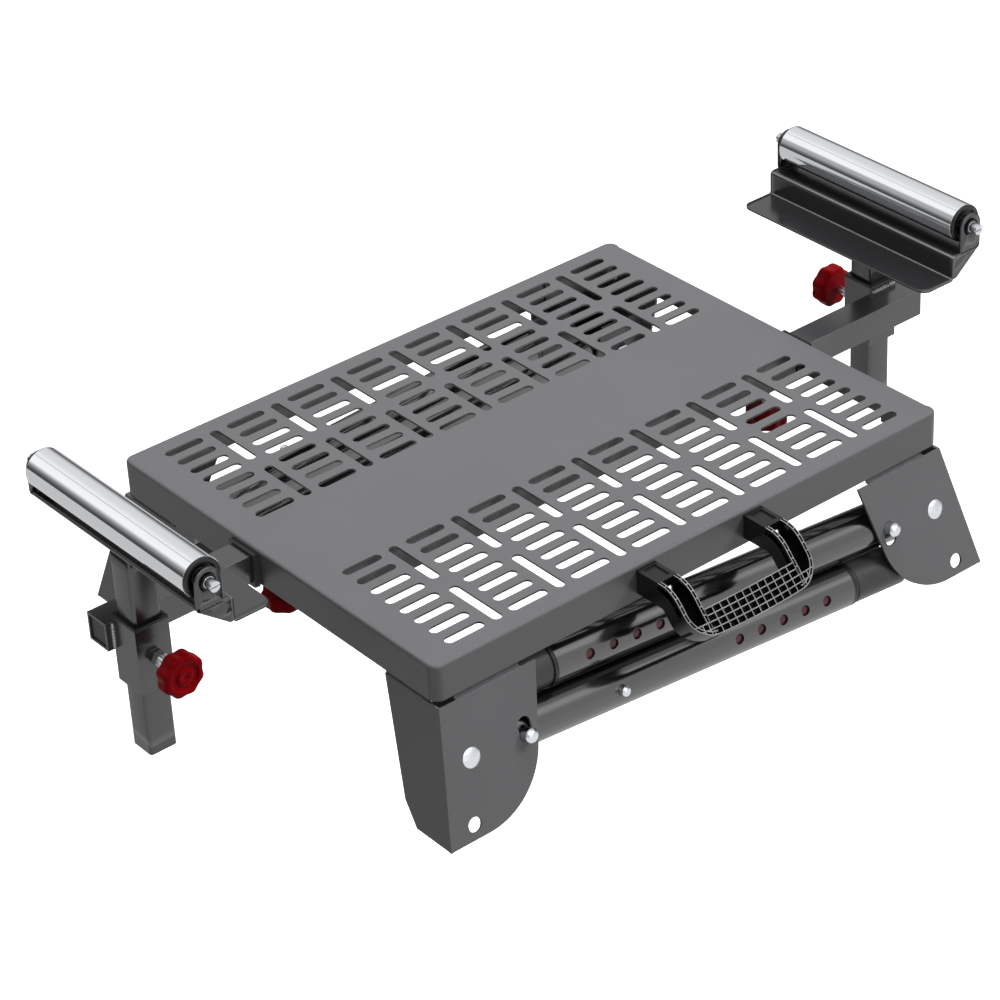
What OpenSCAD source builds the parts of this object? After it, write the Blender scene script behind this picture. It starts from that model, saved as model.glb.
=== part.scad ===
// Folding power tool stand, stored: a slotted platform on four corner brackets,
// with two pairs of telescopic legs folded along its front and back,
// and a pull-out arm with a height-adjustable roller at each side.
// Frame: origin at the centre of the platform's top face, +X to the right,
// +Y to the back (the carry handle is at the front, on -Y), +Z up. Millimetres.

/* [Platform] */
// Length of the platform, side to side
platform_l = 595; // [540:5:700]
// Depth of the platform, front to back
platform_w = 456; // [420:4:520]
// Height of the skirt that is bent down all round
skirt_h = 36; // [32:1:48]
// Thickness of the platform's sheet
sheet_t = 2; // [1.5:0.1:2.4]
// Radius of the platform's corners in plan
corner_r = 10; // [7:1:16]
// Outer radius of the bend between top and skirt
bend_r = 3.5; // [3:0.5:5]

/* [Slots] */
// Width of every slot in the platform
slot_w = 10; // [6:0.2:11]
// Length of a slot that runs side to side
slot_l = 41; // [36:1:54]
// Spacing of the slot groups, side to side
slot_pitch = 70; // [66:1:90]
// Spacing of the slot rows, front to back
row_pitch = 20; // [16:1:21]
// Rows in one group
rows = 4; // [3:1:4]
// Length of a slot that runs front to back
cross_slot_l = 65.5; // [40:0.5:70]
// Half the depth of the plain strip along the middle
strip_half = 58.6; // [58:0.2:64]
// Least distance from a slot to the platform's side
slot_margin = 26; // [20:1:40]
// Least distance from a slot to the platform's front or back
row_margin = 18; // [16:1:30]

/* [Brackets] */
// Thickness of a bracket's plates
plate_t = 2.5; // [2:0.1:3]
// Lean of the outer plate away from the vertical
flare_a = 16.3; // [12:0.1:18]
// Lean of the side web away from the vertical
web_a = 10.9; // [9:0.1:12]
// Length of the outer plate's top edge
plate_l = 105; // [98:1:112]
// Radius of the outer plate's round edge about the leg pivot
plate_r = 71; // [69:0.5:74]
// Drop from the outer plate's top edge to the pivot, along the plate
pivot_drop = 53.7; // [52:0.1:58]
// Distance from the bracket's corner to the pivot
pivot_in = 19.5; // [19:0.5:24]
// Gap that shows between the skirt and a bracket
bracket_gap = 4; // [3.5:0.5:6]
// How far the outer plate stands proud of the skirt
bracket_proud = 2.7; // [2.6:0.1:4]
// Depth of the side web along its top edge
web_top = 73; // [68:1:80]
// Distance from the pivot to the leg lock
lock_r = 59; // [57:0.5:60]
// Outward lean of an open leg, in the plane of the outer plate
open_lean = 12.5; // [8:0.5:13]

/* [Legs] */
// Outer diameter of the outer leg tube
leg_d = 42; // [38:0.5:42.5]
// Wall of the outer leg tube
leg_wall = 1.6; // [1.2:0.1:2]
// Wall of the inner leg tube
inner_wall = 1.5; // [1.2:0.1:2]
// Clearance all round between the leg tubes
tube_gap = 0.4; // [0.3:0.05:0.6]
// Gap between two legs stored one above the other
stow_gap = 1.6; // [1:0.1:3]
// How far a stored foot stops short of the other leg's pivot
foot_short = 49.6; // [46:0.5:70]
// Length of a foot
foot_l = 52; // [40:1:56]
// Spacing of the height holes
hole_pitch = 26.5; // [20:0.5:27]
// Number of height holes
height_holes = 5; // [3:1:5]
// Diameter of a height hole
hole_d = 10; // [8:0.5:11]
// Distance from the pivot to the snap button's stored hole
snap_s = 169; // [160:1:180]
// Distance from the pivot to the first height hole
first_hole_s = 305.5; // [290:0.5:310]

/* [Support arms] */
// Side of a support arm's square tube
arm_w = 28; // [24:0.5:29]
// Wall of the square tubes
square_wall = 2; // [1.5:0.1:2.5]
// Length of a support arm
arm_l = 520; // [460:5:540]
// How far a support arm stands out of the platform's side
arm_out = 158; // [120:1:180]
// Distance between a support arm's centre line and the platform's
arm_y = 37; // [35:0.5:40]
// Depth of a support arm's centre line below the platform's top
arm_z = 20.5; // [20:0.5:22]
// Side of the socket that holds a roller post
socket_w = 35; // [34:0.5:40]
// Height of the socket
socket_h = 65; // [50:1:80]

/* [Rollers] */
// Diameter of a roller
roller_d = 37.6; // [30:0.2:44]
// Length of a roller with its end caps
roller_l = 236; // [180:2:260]
// Wall of a roller's tube
roller_wall = 1.5; // [1:0.1:2]
// Diameter of a roller's axle
axle_d = 10; // [8:0.5:10]
// Height of the axle above the platform's top
axle_z = 99.9; // [96:0.1:130]
// Length of the post that carries a roller
post_l = 207; // [180:1:230]
// Height of the shelf's ledge above the platform's top
ledge_z = 75; // [64:1:76]
// Depth of the step from the ledge down to the flange
step_h = 24; // [18:1:30]
// Width of the flange that faces the platform
flange_l = 38.4; // [30:0.2:48]

/* [Knobs] */
// Diameter over a knob's lobes
knob_d = 41; // [34:0.5:44]
// Thickness of a knob
knob_t = 16; // [12:0.5:18]
// Lobes round a knob
knob_lobes = 8; // [6:1:10]
// Diameter of a clamp screw
stud_d = 8; // [6:0.5:8]

/* [Handle] */
// Width of the carry handle
handle_l = 148; // [130:1:170]
// Width of each of the handle's arms
handle_arm_w = 22; // [18:0.5:28]
// Reach of the handle from the skirt
handle_reach = 80; // [70:1:90]
// Drop of the handle below its top edge
handle_drop = 54; // [46:1:60]
// Radius of the handle's corners
handle_corner_r = 25; // [12:1:30]
// Thickness of the handle's ribs
rib_t = 1.3; // [1:0.1:1.8]

/* [Hidden] */
$fn = 64;

sheet_grey = "#6e6e6e";
dark_grey = "#3c3c3e";
tube_black = "#17181a";
inner_red = "#5a1218";
plastic_black = "#101012";
knob_red = "#8a0a14";
zinc = "#c9ccd0";
chrome_bright = "#e6e8ea";

// Overrun of every cut
cut = 1;
// Side of a block that stands for a half space
far = 4 * platform_l;
// Radial clearance of a pin that turns or slides in its hole
run_gap = 0.06;
// Clearance between flat faces that slide on each other
slide_gap = 0.3;
// Clearance between a part that passes and a part that stays
pass_gap = 1;

half_l = platform_l / 2;
half_w = platform_w / 2;
inner_l = half_l - sheet_t;
inner_w = half_w - sheet_t;

// Slot grid
group_gap = slot_pitch - slot_l;
row_gap = row_pitch - slot_w;
groups = floor((platform_l - 2 * slot_margin + group_gap) / slot_pitch);
row_sets = floor((half_w - row_margin - strip_half + row_gap) / (rows * row_pitch));
first_row_y = strip_half + slot_w / 2;
group_x0 = -(groups - 1) / 2 * slot_pitch;
// The cross slots of a block keep to its two edges
block_w = row_sets * rows * row_pitch - row_gap;
cross_pitch = (block_w - cross_slot_l) / max(row_sets - 1, 1);

// Bracket geometry
bracket_inset = 0.7;
bracket_x = half_l - bracket_inset;
bracket_y = half_w + bracket_proud;
bracket_z = skirt_h + bracket_gap;
plate_h = pivot_drop + plate_r;
pivot_u = bracket_x - pivot_in;
tab_l_share = 0.8;
web_share = 0.84;
web_low_share = 0.42;
web_round_share = 0.26;
cheek_r = 28;
cheek_top_share = 0.75;
tab_t = 2;
button_gap = 0.25;
lock_d = 13.5;
lock_out = 12;
button_dome = 4;
lock_swing = 4.5;

// Leg geometry
leg_r = leg_d / 2;
leg_depth = plate_t + pass_gap + leg_r;
inner_r = leg_r - leg_wall - tube_gap;
foot_wall = 1.2;
foot_floor = 16;
neck_wall = 0.6;
foot_r = inner_r + foot_wall;
stow_a = asin((leg_d + stow_gap) / (2 * pivot_u));
leg_l = 2 * pivot_u - foot_short;
foot_s = leg_l - foot_l;
collar_l = 4;
groove_l = 2.6;
tube_end_s = foot_s - groove_l - collar_l;
root_l = 14;
inner_root_back = 30;
inner_root_s = snap_s - inner_root_back;
cheek_depth = leg_depth + leg_r + pass_gap;
bolt_d = 10;
bolt_head_d = 19;
bolt_head_h = 3;
bolt_nut_af = 16;
snap_d = 9.5;
snap_out = 8;
snap_dome = 2.5;
clip_t = 1.2;
clip_w = 10;
clip_l = 56;

// Support geometry
arm_end_x = half_l + arm_out;
socket_in = 24.5;
socket_x = arm_end_x - socket_in;
socket_y = socket_w / 2 + arm_w / 2 - arm_y;
socket_rise = 5.5;
socket_z1 = arm_w / 2 + socket_rise - arm_z;
socket_z0 = socket_z1 - socket_h;
guide_gap = 0.5;
guide_in = arm_w + 2 * guide_gap;
guide_wall = 2.5;
guide_w = guide_in + 2 * guide_wall;
guide_in_share = 0.953;
spacer_share = 0.8;
knob_x_share = 0.877;
collar_gap = 0.3;
collar_wall = 3.1;
collar_lid = 0.7;
collar_proud = 4;
collar_flange = 5;
collar_flange_top = 2;
collar_inside = 12;
collar_w = arm_w + 2 * collar_gap + 2 * collar_wall;
collar_top = arm_z - arm_w / 2 - collar_gap - collar_lid;
knob_x = knob_x_share * half_l;
bush_l = 20;
bush_rim = 3;
post_w = arm_w;
cap_in = 1.5;
cap_l = 10;
nut_af = 13;
nut_h = 6.5;
weld_nut_h = 5;
clamp_z = 32;
jam_nut_h = 6;

// Roller geometry
axle_out = 6.7;
axle_x = socket_x + axle_out;
ear_r = 13;
ear_t = 2;
ear_gap = 4.5;
shelf_half = roller_l / 2 + ear_gap + ear_t;
axle_past = 11;
axle_slot_w = 1.6;
axle_slot_h = 1.6;
axle_half = shelf_half + axle_past;
cap_lip = 2.5;
cap_plug = 12;
cap_dish = 2;
cap_dish_share = 0.72;
step_x = socket_x - post_w / 2 - sheet_t;
ledge_l = 35;
lip_h = 3;
flange_corner_r = 10;
washer_d = 15;
washer_t = 2;

// Knob geometry
lobe_share = 0.27;
knob_core_share = 0.8;
knob_dish_share = 0.62;
knob_dish = 2;
knob_hub_share = 0.34;
arm_knob_z = 66;
post_knob_out = 41;

// Handle geometry, as shares of its reach and drop, [outward, down]
handle_top = 5;
arm_top_shares = [[0, 0], [0.4, 0], [0.46, 0.015], [0.52, 0.05], [0.58, 0.1], [0.64, 0.16],
    [0.694, 0.234], [0.968, 0.692]];
arm_under_shares = [[0.731, 1], [0.598, 0.747], [0.542, 0.672], [0.495, 0.59], [0.448, 0.509],
    [0.39, 0.48], [0, 0.48]];
channel_shares = [[0.37, -0.3], [1.1, -0.3], [1.1, 0.22], [0.672, 0.785], [0.636, 0.7], [0.58, 0.622],
    [0.481, 0.457], [0.39, 0.407], [0.37, 0.407]];
bar_shares = [[0.771, 0.363], [0.968, 0.692], [0.828, 0.876], [0.631, 0.547]];
handle_rail = 4;
corner_ease = 0.6;
grid_rows = 4;
grid_columns = 12;
grid_depth = 8;
handle_recess = 1.5;
handle_root_share = 0.37;
screw_drop = 10;
screw_d = 5;
screw_head_d = 9;
screw_head_h = 3;
screw_nut_af = 8;
screw_nut_h = 4;
handle_screw_x = handle_l / 2 - handle_arm_w / 2;
face_rise = handle_drop * (bar_shares[1][1] - bar_shares[0][1]);
face_run = handle_reach * (bar_shares[1][0] - bar_shares[0][0]);
face_l = norm([face_rise, face_run]);

// A round-ended slot of overall length l and width w along X
module slot(l, w) {
    square([l - w, w], center = true);
    for (s = [-1, 1]) translate([s * (l - w) / 2, 0]) circle(d = w);
}

// A tube of outer side w along X, from x0 to x1, centred on the X axis
module square_tube(w, wall, x0, x1) {
    difference() {
        translate([x0, -w / 2, -w / 2]) cube([x1 - x0, w, w]);
        translate([x0 - cut, wall - w / 2, wall - w / 2])
            cube([x1 - x0 + 2 * cut, w - 2 * wall, w - 2 * wall]);
    }
}

// A round bar along +X from x0 to x1
module bar_x(r, x0, x1) translate([x0, 0, 0]) rotate([0, 90, 0]) cylinder(r = r, h = x1 - x0);

// A hexagon nut with its axis on Z, standing on z = 0
module nut(af, h, bore) {
    difference() {
        cylinder(d = af / cos(30), h = h, $fn = 6);
        translate([0, 0, -cut]) cylinder(d = bore, h = h + 2 * cut);
    }
}

// Places made from the front right corner
module front_right() children();
module front_left() mirror([1, 0, 0]) children();
module back_left() rotate([0, 0, 180]) children();
module back_right() rotate([0, 0, 180]) mirror([1, 0, 0]) children();

// Places made from the right side
module right() children();
module left() rotate([0, 0, 180]) children();

// Plane of the front outer plates: X along it, Y up the plate, Z outward
module front_plane() translate([0, -bracket_y, -bracket_z]) rotate([90 - flare_a, 0, 0]) children();

// Plane of the right web: X to the back, Y up the web, Z outward
module web_plane() translate([bracket_x, 0, -bracket_z]) rotate([0, -web_a, 0])
    rotate([90, 0, 90]) children();

// Both upper legs at once
module upper_pair() {
    front_right() upper_leg() children();
    back_left() upper_leg() children();
}

// Along a stored leg: origin on the pivot, X towards the foot, Z outward
module leg_frame(stow) front_plane() translate([pivot_u, -pivot_drop, -leg_depth])
    rotate([0, 0, 180 + stow]) children();
module upper_leg() leg_frame(-stow_a) children();
module lower_leg() leg_frame(stow_a) children();

// The platform: one pressed sheet with rounded edges and a grid of slots
module tray_outside() {
    low_h = skirt_h - bend_r;
    translate([0, 0, -skirt_h]) linear_extrude(low_h) plan_outline(0);
    translate([0, 0, -skirt_h]) linear_extrude(skirt_h) plan_outline(bend_r);
    for (y = [-1, 1]) translate([0, y * (half_w - bend_r), -bend_r])
        bar_x(bend_r, corner_r - half_l, half_l - corner_r);
    for (x = [-1, 1]) translate([x * (half_l - bend_r), 0, -bend_r]) rotate([0, 0, 90])
        bar_x(bend_r, corner_r - half_w, half_w - corner_r);
    for (x = [-1, 1], y = [-1, 1])
        translate([x * (half_l - corner_r), y * (half_w - corner_r), -bend_r])
            rotate_extrude() translate([corner_r - bend_r, 0]) circle(r = bend_r);
}
module plan_outline(inset) {
    r = corner_r - inset;
    square([platform_l - 2 * inset, platform_w - 2 * corner_r], center = true);
    square([platform_l - 2 * corner_r, platform_w - 2 * inset], center = true);
    for (x = [-1, 1], y = [-1, 1])
        translate([x * (half_l - corner_r), y * (half_w - corner_r)]) circle(r = r);
}
module slot_grid() {
    for (side = [-1, 1], set = [0 : row_sets - 1]) {
        set_y = side * (first_row_y + set * rows * row_pitch);
        cross_y = side * (strip_half + cross_slot_l / 2 + set * cross_pitch);
        for (g = [0 : groups - 1], row = [0 : rows - 1])
            translate([group_x0 + g * slot_pitch, set_y + side * row * row_pitch]) slot(slot_l, slot_w);
        for (g = [0 : groups - 2])
            translate([group_x0 + (g + 1 / 2) * slot_pitch, cross_y]) rotate(90) slot(cross_slot_l, slot_w);
    }
}
module platform_tray() color(sheet_grey) difference() {
    tray_outside();
    translate([0, 0, -skirt_h - cut]) linear_extrude(skirt_h - sheet_t + cut) plan_outline(sheet_t);
    translate([0, 0, -sheet_t - cut]) linear_extrude(sheet_t + 2 * cut) slot_grid();
    // Notches for the arm collars
    for (turn = [0, 180]) rotate([0, 0, turn])
        translate([inner_l - cut, -arm_y - collar_w / 2 - run_gap, -skirt_h - cut])
            cube([sheet_t + 2 * cut, collar_w + 2 * run_gap, skirt_h + cut - collar_top + run_gap]);
    // Holes for the handle's screws
    for (s = [-1, 1]) translate([s * handle_screw_x, -half_w - cut, -handle_top - screw_drop])
        rotate([-90, 0, 0]) cylinder(d = screw_d + 2 * run_gap, h = sheet_t + 2 * cut);
}

// Two square guides under the plain strip, one for each arm, with nuts for the clamp screws
module arm_guides() color(dark_grey) {
    guide_l = guide_in_share * half_l;
    spacer_h = arm_z - guide_w / 2 - sheet_t;
    for (turn = [0, 180]) rotate([0, 0, turn]) translate([0, -arm_y, -arm_z]) difference() {
        union() {
            square_tube(guide_w, guide_wall, -guide_l, guide_l);
            for (s = [-1, 1])
                translate([s * guide_l * spacer_share - guide_w / 2, -guide_w / 2, guide_w / 2])
                    cube([guide_w, guide_w, spacer_h]);
            translate([knob_x, 0, -guide_w / 2 - nut_h])
                cylinder(d = nut_af / cos(30), h = nut_h, $fn = 6);
        }
        translate([knob_x, 0, -guide_w / 2 - nut_h - cut])
            cylinder(d = stud_d + 2 * run_gap, h = nut_h + guide_wall + 2 * cut);
    }
}

// Black plastic bushes where the arms leave the skirt
module arm_collars() color(plastic_black)
    for (turn = [0, 180]) rotate([0, 0, turn]) translate([half_l, -arm_y, -arm_z]) difference() {
        union() {
            translate([-collar_inside, -collar_w / 2, -collar_w / 2])
                cube([collar_inside, collar_w, arm_z - collar_top + collar_w / 2]);
            translate([0, -arm_w / 2 - collar_flange, -collar_w / 2])
                cube([collar_proud, arm_w + 2 * collar_flange, collar_w / 2 + arm_w / 2 + collar_flange_top]);
        }
        translate([-collar_inside - cut, -arm_w / 2 - collar_gap, -arm_w / 2 - collar_gap])
            cube([collar_inside + collar_proud + 2 * cut, arm_w + 2 * collar_gap, arm_w + 2 * collar_gap]);
    }

// One corner bracket: outer plate, side web, inner cheek and the tabs inside the skirt
module bracket() color(dark_grey) difference() {
    union() {
        intersection() {
            union() {
                front_plane() translate([0, 0, -plate_t]) linear_extrude(plate_t) plate_outline();
                web_plane() translate([0, 0, -plate_t]) linear_extrude(plate_t) web_outline();
                front_plane() translate([0, 0, -cheek_depth - plate_t]) linear_extrude(plate_t)
                    cheek_outline();
            }
            front_plane() translate([-far / 2, -far / 2, -far]) cube(far);
            web_plane() translate([-far / 2, -far / 2, -far]) cube(far);
        }
        front_tab();
        side_tab();
    }
    front_plane() {
        translate([pivot_u, -pivot_drop, -cheek_depth - plate_t - cut])
            cylinder(d = bolt_d + 2 * run_gap, h = cheek_depth + plate_t + 2 * cut);
        translate([0, 0, -plate_t - cut]) linear_extrude(plate_t + 2 * cut)
            translate([pivot_u, -pivot_drop]) lock_openings();
    }
}
module plate_outline() {
    corner = [bracket_x - plate_l, 0];
    pivot = [pivot_u, -pivot_drop];
    reach = norm(corner - pivot);
    tangent_a = atan2(corner[1] - pivot[1], corner[0] - pivot[0]) + acos(plate_r / reach);
    tangent = pivot + plate_r * [cos(tangent_a), sin(tangent_a)];
    polygon([corner, [bracket_x + plate_r, 0], [bracket_x + plate_r, -plate_h], [pivot_u, -plate_h],
        pivot, tangent]);
    intersection() {
        translate(pivot) circle(r = plate_r);
        translate([pivot_u - plate_r, -plate_h]) square([plate_r, plate_h - pivot_drop]);
    }
}
module lock_openings() {
    // Stored: a short arc about the pivot. Open: a round hole
    open_r = lock_d / 2 + button_gap;
    intersection() {
        difference() {
            circle(r = lock_r + open_r);
            circle(r = lock_r - open_r);
        }
        polygon([[0, 0], 2 * lock_r * [cos(180 - lock_swing), sin(180 - lock_swing)],
            2 * lock_r * [cos(180 + lock_swing), sin(180 + lock_swing)]]);
    }
    for (a = [180 - lock_swing, 180 + lock_swing, open_lean - 90])
        translate(lock_r * [cos(a), sin(a)]) circle(r = open_r);
}
module web_outline() {
    foot = -plate_h * cos(flare_a) / cos(web_a);
    shoulder = foot * web_share;
    round_x = web_top * web_round_share;
    polygon([[-bracket_y - plate_r, 0], [web_top - bracket_y, 0],
        [web_low_share * web_top - bracket_y, shoulder],
        [web_low_share * web_top - bracket_y - round_x, foot], [-bracket_y - plate_r, foot]]);
}
module cheek_outline() {
    translate([pivot_u, -pivot_drop]) circle(r = cheek_r);
    translate([pivot_u - cheek_r, -pivot_drop]) square([plate_r, pivot_drop * cheek_top_share]);
    translate([pivot_u, -pivot_drop - cheek_r]) square([plate_r, 2 * cheek_r]);
}
module front_tab() {
    tab_l = plate_l * tab_l_share;
    translate([pivot_u - tab_l + cheek_r / 2, -inner_w, -bracket_z - tab_t])
        cube([tab_l - cheek_r / 2, tab_t, bracket_z + tab_t - sheet_t]);
    translate([pivot_u - tab_l + cheek_r / 2, -bracket_y + plate_t / 2, -bracket_z - tab_t])
        cube([tab_l - cheek_r / 2, bracket_y - inner_w + tab_t - plate_t / 2, tab_t]);
}
module side_tab() {
    tab_w = web_top * tab_l_share;
    translate([inner_l - tab_t, web_top - bracket_y - tab_w, -bracket_z - tab_t])
        cube([tab_t, tab_w, bracket_z + tab_t - sheet_t]);
    translate([inner_l - tab_t, web_top - bracket_y - tab_w, -bracket_z - tab_t])
        cube([bracket_x - plate_t / 2 - inner_l + tab_t, tab_w, tab_t]);
}

// Four pivot bolts with domed heads outside and nuts behind the cheeks
module pivot_bolts() color(zinc)
    for (turn = [0, 180], flip = [0, 1]) rotate([0, 0, turn]) mirror([flip, 0, 0])
        front_plane() translate([pivot_u, -pivot_drop, 0]) {
            dome(bolt_head_d, bolt_head_h);
            back = cheek_depth + plate_t + pass_gap / 2;
            translate([0, 0, -back - nut_h]) cylinder(d = bolt_d, h = back + nut_h);
            translate([0, 0, -back - nut_h + pass_gap / 2]) difference() {
                cylinder(d = bolt_nut_af / cos(30), h = nut_h, $fn = 6);
                translate([0, 0, -cut]) cylinder(d = bolt_d, h = nut_h + 2 * cut);
            }
        }

// A shallow spherical cap of diameter d and height h, standing on z = 0
module dome(d, h) {
    ball_r = (d * d / 4 + h * h) / (2 * h);
    intersection() {
        translate([0, 0, h - ball_r]) sphere(r = ball_r);
        cylinder(d = d, h = h);
    }
}

// The outer leg tube with its pivot, lock, snap and height holes
module leg_tube() color(tube_black) difference() {
    bar_x(leg_r, -root_l, tube_end_s);
    bar_x(leg_r - leg_wall, -root_l - cut, tube_end_s + cut);
    translate([0, 0, -leg_r - cut]) cylinder(d = bolt_d + 2 * run_gap, h = leg_d + 2 * cut);
    translate([lock_r, 0, 0]) cylinder(d = lock_d + 2 * button_gap, h = leg_r + cut);
    translate([snap_s, 0, 0]) cylinder(d = snap_d + 2 * button_gap, h = leg_r + cut);
    for (i = [0 : height_holes - 1]) translate([first_hole_s + i * hole_pitch, 0, 0])
        cylinder(d = hole_d, h = leg_r + cut);
}

// The plastic ring that ends the outer leg tube
module leg_collar() color(plastic_black) difference() {
    bar_x(leg_r, tube_end_s, tube_end_s + collar_l);
    bar_x(inner_r + tube_gap, tube_end_s - cut, tube_end_s + collar_l + cut);
}

// The inner leg tube with the snap button's hole
module inner_leg() color(inner_red) difference() {
    bar_x(inner_r, inner_root_s, leg_l - foot_floor);
    bar_x(inner_r - inner_wall, inner_root_s - cut, leg_l - foot_floor + cut);
    translate([snap_s, 0, 0]) cylinder(d = snap_d + 2 * button_gap, h = inner_r + cut);
}

// The boot: its end is cut so that it lies flat on the floor when the leg is open
module foot() color(plastic_black) difference() {
    union() {
        bar_x(foot_r, foot_s, leg_l + leg_r);
        bar_x(inner_r + neck_wall, foot_s - groove_l + slide_gap, foot_s + cut);
    }
    bar_x(inner_r, foot_s - groove_l, leg_l - foot_floor);
    translate([leg_l, 0, 0]) rotate([0, 0, -(270 + open_lean)]) rotate([flare_a - 90, 0, 0])
        translate([-far / 2, -far / 2, -far]) cube(far);
}

// The lock button that shows through the outer plate
module lock_button() color(zinc) translate([lock_r, 0, leg_r + pass_gap - slide_gap]) {
    low_h = plate_t + slide_gap + lock_out - button_dome;
    cylinder(d = lock_d, h = low_h);
    translate([0, 0, low_h]) dome(lock_d, button_dome);
}

// The snap button that sets the leg's length
module snap_button() color(zinc) translate([snap_s, 0, inner_r + slide_gap]) {
    low_h = leg_r - inner_r - slide_gap + snap_out - snap_dome;
    cylinder(d = snap_d, h = low_h);
    translate([0, 0, low_h]) dome(snap_d, snap_dome);
}

// A flat V spring inside a tube of inner radius r, its bend towards the foot
module v_clip(r) {
    rise = sqrt(r * r - clip_w * clip_w / 4) - slide_gap;
    nose = clip_l;
    rotate([90, 0, 0]) linear_extrude(clip_w, center = true)
        polygon([[0, rise], [clip_l / 2, rise], [nose, clip_t], [nose, -clip_t],
            [clip_l / 2, -rise], [0, -rise], [0, clip_t - rise], [clip_l / 2 - clip_t, clip_t - rise],
            [nose - 2 * clip_t, 0], [clip_l / 2 - clip_t, rise - clip_t], [0, rise - clip_t]]);
}
module lock_clip() color(zinc) translate([lock_r - clip_l / 4, 0, 0]) v_clip(leg_r - leg_wall);
module snap_clip() color(zinc) translate([snap_s - clip_l / 4, 0, 0]) v_clip(inner_r - inner_wall);

// A support arm with the welded socket for its roller post
module support_arm() color(sheet_grey) {
    translate([0, -arm_y, -arm_z]) square_tube(arm_w, square_wall, arm_end_x - arm_l, arm_end_x);
    difference() {
        translate([socket_x, socket_y, 0]) rotate([0, -90, 0])
            square_tube(socket_w, square_wall, socket_z0, socket_z1);
        translate([socket_x, socket_y, -clamp_z]) rotate([-90, 0, 0])
            cylinder(d = stud_d + 2 * run_gap, h = socket_w);
    }
    translate([socket_x, socket_y + socket_w / 2, -clamp_z]) rotate([-90, 0, 0])
        nut(nut_af, weld_nut_h, stud_d + 2 * run_gap);
}

// Black plugs in both ends of a support arm
module arm_caps() color(plastic_black) {
    plug_w = arm_w - 2 * square_wall;
    for (x = [arm_end_x - cap_in - cap_l, arm_end_x - arm_l + cap_in])
        translate([x, -arm_y - plug_w / 2, -arm_z - plug_w / 2]) cube([cap_l, plug_w, plug_w]);
}

// The bush that lines the top of a socket
module socket_bush() color(plastic_black) translate([socket_x, socket_y, socket_z1]) difference() {
    union() {
        translate([0, 0, -bush_l / 2]) cube([socket_w - 2 * square_wall, socket_w - 2 * square_wall, bush_l],
            center = true);
        translate([0, 0, bush_rim / 2]) cube([socket_w, socket_w, bush_rim], center = true);
    }
    cube([post_w + 2 * slide_gap, post_w + 2 * slide_gap, 3 * bush_l], center = true);
}

// A post with the folded shelf and the ears that carry the roller
module roller_post() color(dark_grey) {
    post_top = ledge_z - sheet_t;
    translate([socket_x, socket_y, 0]) rotate([0, -90, 0])
        square_tube(post_w, square_wall, post_top - post_l, post_top);
    translate([step_x, socket_y, ledge_z]) {
        // Ledge, step and lip
        translate([0, -shelf_half, -sheet_t]) cube([ledge_l, 2 * shelf_half, sheet_t]);
        translate([0, -shelf_half, -step_h - sheet_t]) cube([sheet_t, 2 * shelf_half, step_h + sheet_t]);
        translate([ledge_l - sheet_t, -shelf_half, -sheet_t])
            cube([sheet_t, 2 * shelf_half, lip_h + sheet_t]);
        // Flange with round corners
        translate([0, 0, -step_h - sheet_t]) linear_extrude(sheet_t) {
            translate([-flange_l + flange_corner_r, -shelf_half])
                square([flange_l - flange_corner_r + sheet_t, 2 * shelf_half]);
            translate([-flange_l, flange_corner_r - shelf_half])
                square([flange_l, 2 * (shelf_half - flange_corner_r)]);
            for (y = [-1, 1])
                translate([flange_corner_r - flange_l, y * (shelf_half - flange_corner_r)])
                    circle(r = flange_corner_r);
        }
        // Ears and the gussets below them
        for (y = [ear_t - shelf_half, shelf_half]) translate([0, y, 0]) rotate([90, 0, 0])
            linear_extrude(ear_t) ear_outline();
    }
}
module ear_outline() {
    ear_u = axle_x - step_x;
    ear_v = axle_z - ledge_z;
    difference() {
        union() {
            translate([ear_u - ear_r, -sheet_t / 2]) square([2 * ear_r, ear_v + sheet_t / 2]);
            translate([ear_u, ear_v]) circle(r = ear_r);
            polygon([[0, 0], [ledge_l, 0], [ledge_l, -sheet_t], [sheet_t, -step_h], [0, -step_h]]);
        }
        translate([ear_u, ear_v]) circle(d = axle_d + 2 * run_gap);
    }
}

// A roller's axle, slotted at its ends, with a spacer inside and a washer outside each ear
module roller_axle() color(zinc) translate([axle_x, socket_y, axle_z]) rotate([90, 0, 0]) {
    difference() {
        cylinder(d = axle_d, h = 2 * axle_half, center = true);
        for (s = [-1, 1]) translate([0, 0, s * axle_half])
            cube([axle_d + cut, axle_slot_w, 2 * axle_slot_h], center = true);
    }
    for (s = [0, 1]) mirror([0, 0, s]) {
        washer(shelf_half, washer_t);
        washer(roller_l / 2 + slide_gap, ear_gap - slide_gap);
    }
}
module washer(z, h) translate([0, 0, z]) difference() {
    cylinder(d = washer_d, h = h);
    translate([0, 0, -cut]) cylinder(d = axle_d, h = h + 2 * cut);
}

// The chromed roller tube
module roller_tube() color(chrome_bright) translate([axle_x, socket_y, axle_z]) rotate([90, 0, 0])
    difference() {
        cylinder(d = roller_d, h = roller_l - 2 * cap_lip, center = true);
        cylinder(d = roller_d - 2 * roller_wall, h = roller_l, center = true);
    }

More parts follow.
